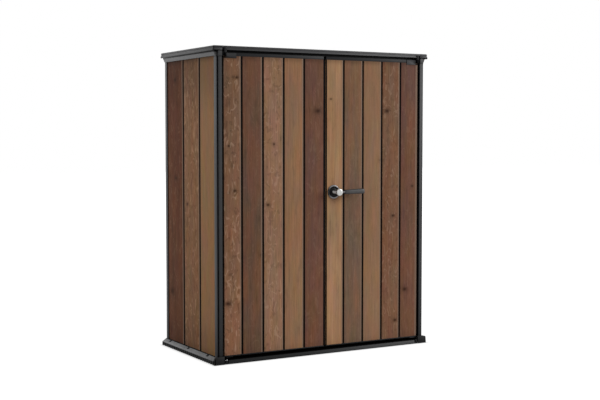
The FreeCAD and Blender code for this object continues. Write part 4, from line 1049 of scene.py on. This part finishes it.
def add_screws():
    """Screw heads on the keeper, the bolt guides and the inner rosette."""
    low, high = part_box("keeper_plate")
    places = []
    for x in (low.x + KEEPER_INSET, high.x - KEEPER_INSET):
        for z in (low.z + KEEPER_INSET, high.z - KEEPER_INSET):
            places.append(Vector((x, high.y, z)))
    plate_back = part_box("upper_bolt_guide")[0].y + GUIDE_PLATE
    for node in ("upper_bolt_guide", "lower_bolt_guide"):
        low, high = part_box(node)
        middle = (low.x + high.x) / 2
        for z in (low.z + GUIDE_INSET, high.z - GUIDE_INSET):
            for x in (middle - GUIDE_ASIDE, middle + GUIDE_ASIDE):
                places.append(Vector((x, plate_back, z)))
    place_screws("left_door_screws", places, "left_door")
    low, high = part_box("inner_rosette")
    centre = (low + high) / 2
    ring = []
    for turn in ROSETTE_TURNS:
        aside = math.cos(math.radians(turn)) * ROSETTE_REACH
        rise = math.sin(math.radians(turn)) * ROSETTE_REACH
        ring.append(Vector((centre.x + aside, high.y, centre.z + rise)))
    place_screws("rosette_screws", ring, "right_door")


# Stage, light and camera

WHITE = (1.0, 1.0, 1.0, 1.0)
FLOOR_GREY = (0.4, 0.4, 0.4, 1.0)
FLOOR_GLOW = 1.2
AMBIENT = 0.75


def mirror_rays(nodes):
    """1 for the rays that a shiny or clear surface sends on."""
    clear = nodes.add("ShaderNodeLightPath", out="Is Transmission Ray")
    return nodes.add("ShaderNodeLightPath", out="Is Glossy Ray").math("MAXIMUM", clear)


def camera_rays(nodes):
    return nodes.add("ShaderNodeLightPath", out="Is Camera Ray")


def beside_cabinet(nodes, reach, near, far):
    """A value that goes from near, at the cabinet's foot, to far, a given reach away."""
    place = nodes.add("ShaderNodeTexCoord", out="Object")
    low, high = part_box("floor_panel")
    gaps = []
    for axis, start, end in (("X", low.x, high.x), ("Y", low.y, high.y)):
        aside = nodes.part(place, axis) - (start + end) / 2
        gaps.append(aside.math("ABSOLUTE") - (end - start) / 2)
    apart = gaps[0].math("MAXIMUM", gaps[1])
    return nodes.add("ShaderNodeMapRange", values=[apart, 0.0, reach, near, far])


def stage_finish():
    """White floor that keeps shadows and has a painted contact shadow round the cabinet, but shows as plain
    white elsewhere.
    """
    finish = bpy.data.materials.new("white_floor")
    nodes = NodeSet(finish)
    matte = nodes.add("ShaderNodeBsdfDiffuse", Color=FLOOR_GREY)
    glow = nodes.add("ShaderNodeEmission", Strength=FLOOR_GLOW)
    # Painted contact shadow: the glow fades near the cabinet's foot, for the camera and in reflections
    seen = beside_cabinet(nodes, 3.0, 0.8, 1.0) - beside_cabinet(nodes, 0.02, 0.3, 0.0)
    share = camera_rays(nodes) * seen + mirror_rays(nodes) * beside_cabinet(nodes, 0.5, 0.0, 0.85)
    mixed = nodes.add("ShaderNodeMixShader", values=[share, matte, glow])
    nodes.add("ShaderNodeOutputMaterial", Surface=mixed)
    return finish


def set_stage():
    """The floor and the white surroundings."""
    floor = new_primitive("plane", "floor", size=60.0, location=(0.0, 0.0, -0.0004))
    bpy.ops.object.transform_apply(location=True, rotation=True, scale=True)
    floor.data.materials.append(stage_finish())
    world = bpy.data.worlds.new("surroundings")
    bpy.context.scene.world = world
    nodes = NodeSet(world)
    soft = nodes.add("ShaderNodeBackground", Color=WHITE, Strength=AMBIENT)
    white = nodes.add("ShaderNodeBackground", Color=WHITE)
    share = camera_rays(nodes).math("MAXIMUM", mirror_rays(nodes))
    mixed = nodes.add("ShaderNodeMixShader", values=[share, soft, white])
    nodes.add("ShaderNodeOutputWorld", Surface=mixed)


def add_lamp(name, spot, aim, size, power):
    """A soft square lamp that faces a point."""
    lamp = bpy.data.lights.new(name, "AREA")
    lamp.shape = "SQUARE"
    lamp.size = size
    lamp.energy = power
    holder = bpy.data.objects.new(name, lamp)
    holder.location = spot
    holder.rotation_euler = (Vector(aim) - Vector(spot)).to_track_quat("-Z", "Y").to_euler()
    bpy.context.scene.collection.objects.link(holder)


def set_lamps():
    """A large soft lamp in front, and weaker ones on the left and behind it."""
    add_lamp("key", (7.6, -5.6, 3.4), (0.1, -0.3, 0.9), 4.0, 520.0)
    add_lamp("side", (-7.5, -2.6, 3.0), (-0.6, 0.0, 0.9), 3.0, 120.0)
    add_lamp("rim", (-4.6, 6.6, 3.2), (-0.6, 0.0, 0.9), 3.0, 60.0)


def set_camera():
    """The camera at the place and angle that the photograph was taken from."""
    lens = bpy.data.cameras.new("camera")
    lens.sensor_width = 36.0
    lens.lens = 68.41
    camera = bpy.data.objects.new("camera", lens)
    camera.location = (-3.3289, -5.8613, 1.2399)
    camera.rotation_euler = (math.radians(86.756), 0.0, math.radians(-29.856))
    bpy.context.scene.collection.objects.link(camera)
    bpy.context.scene.camera = camera
    bpy.context.scene.view_settings.view_transform = "Standard"


dress_doors()
dress_walls()
dress_trim()
build_handle()
add_screws()
set_stage()
set_lamps()
set_camera()
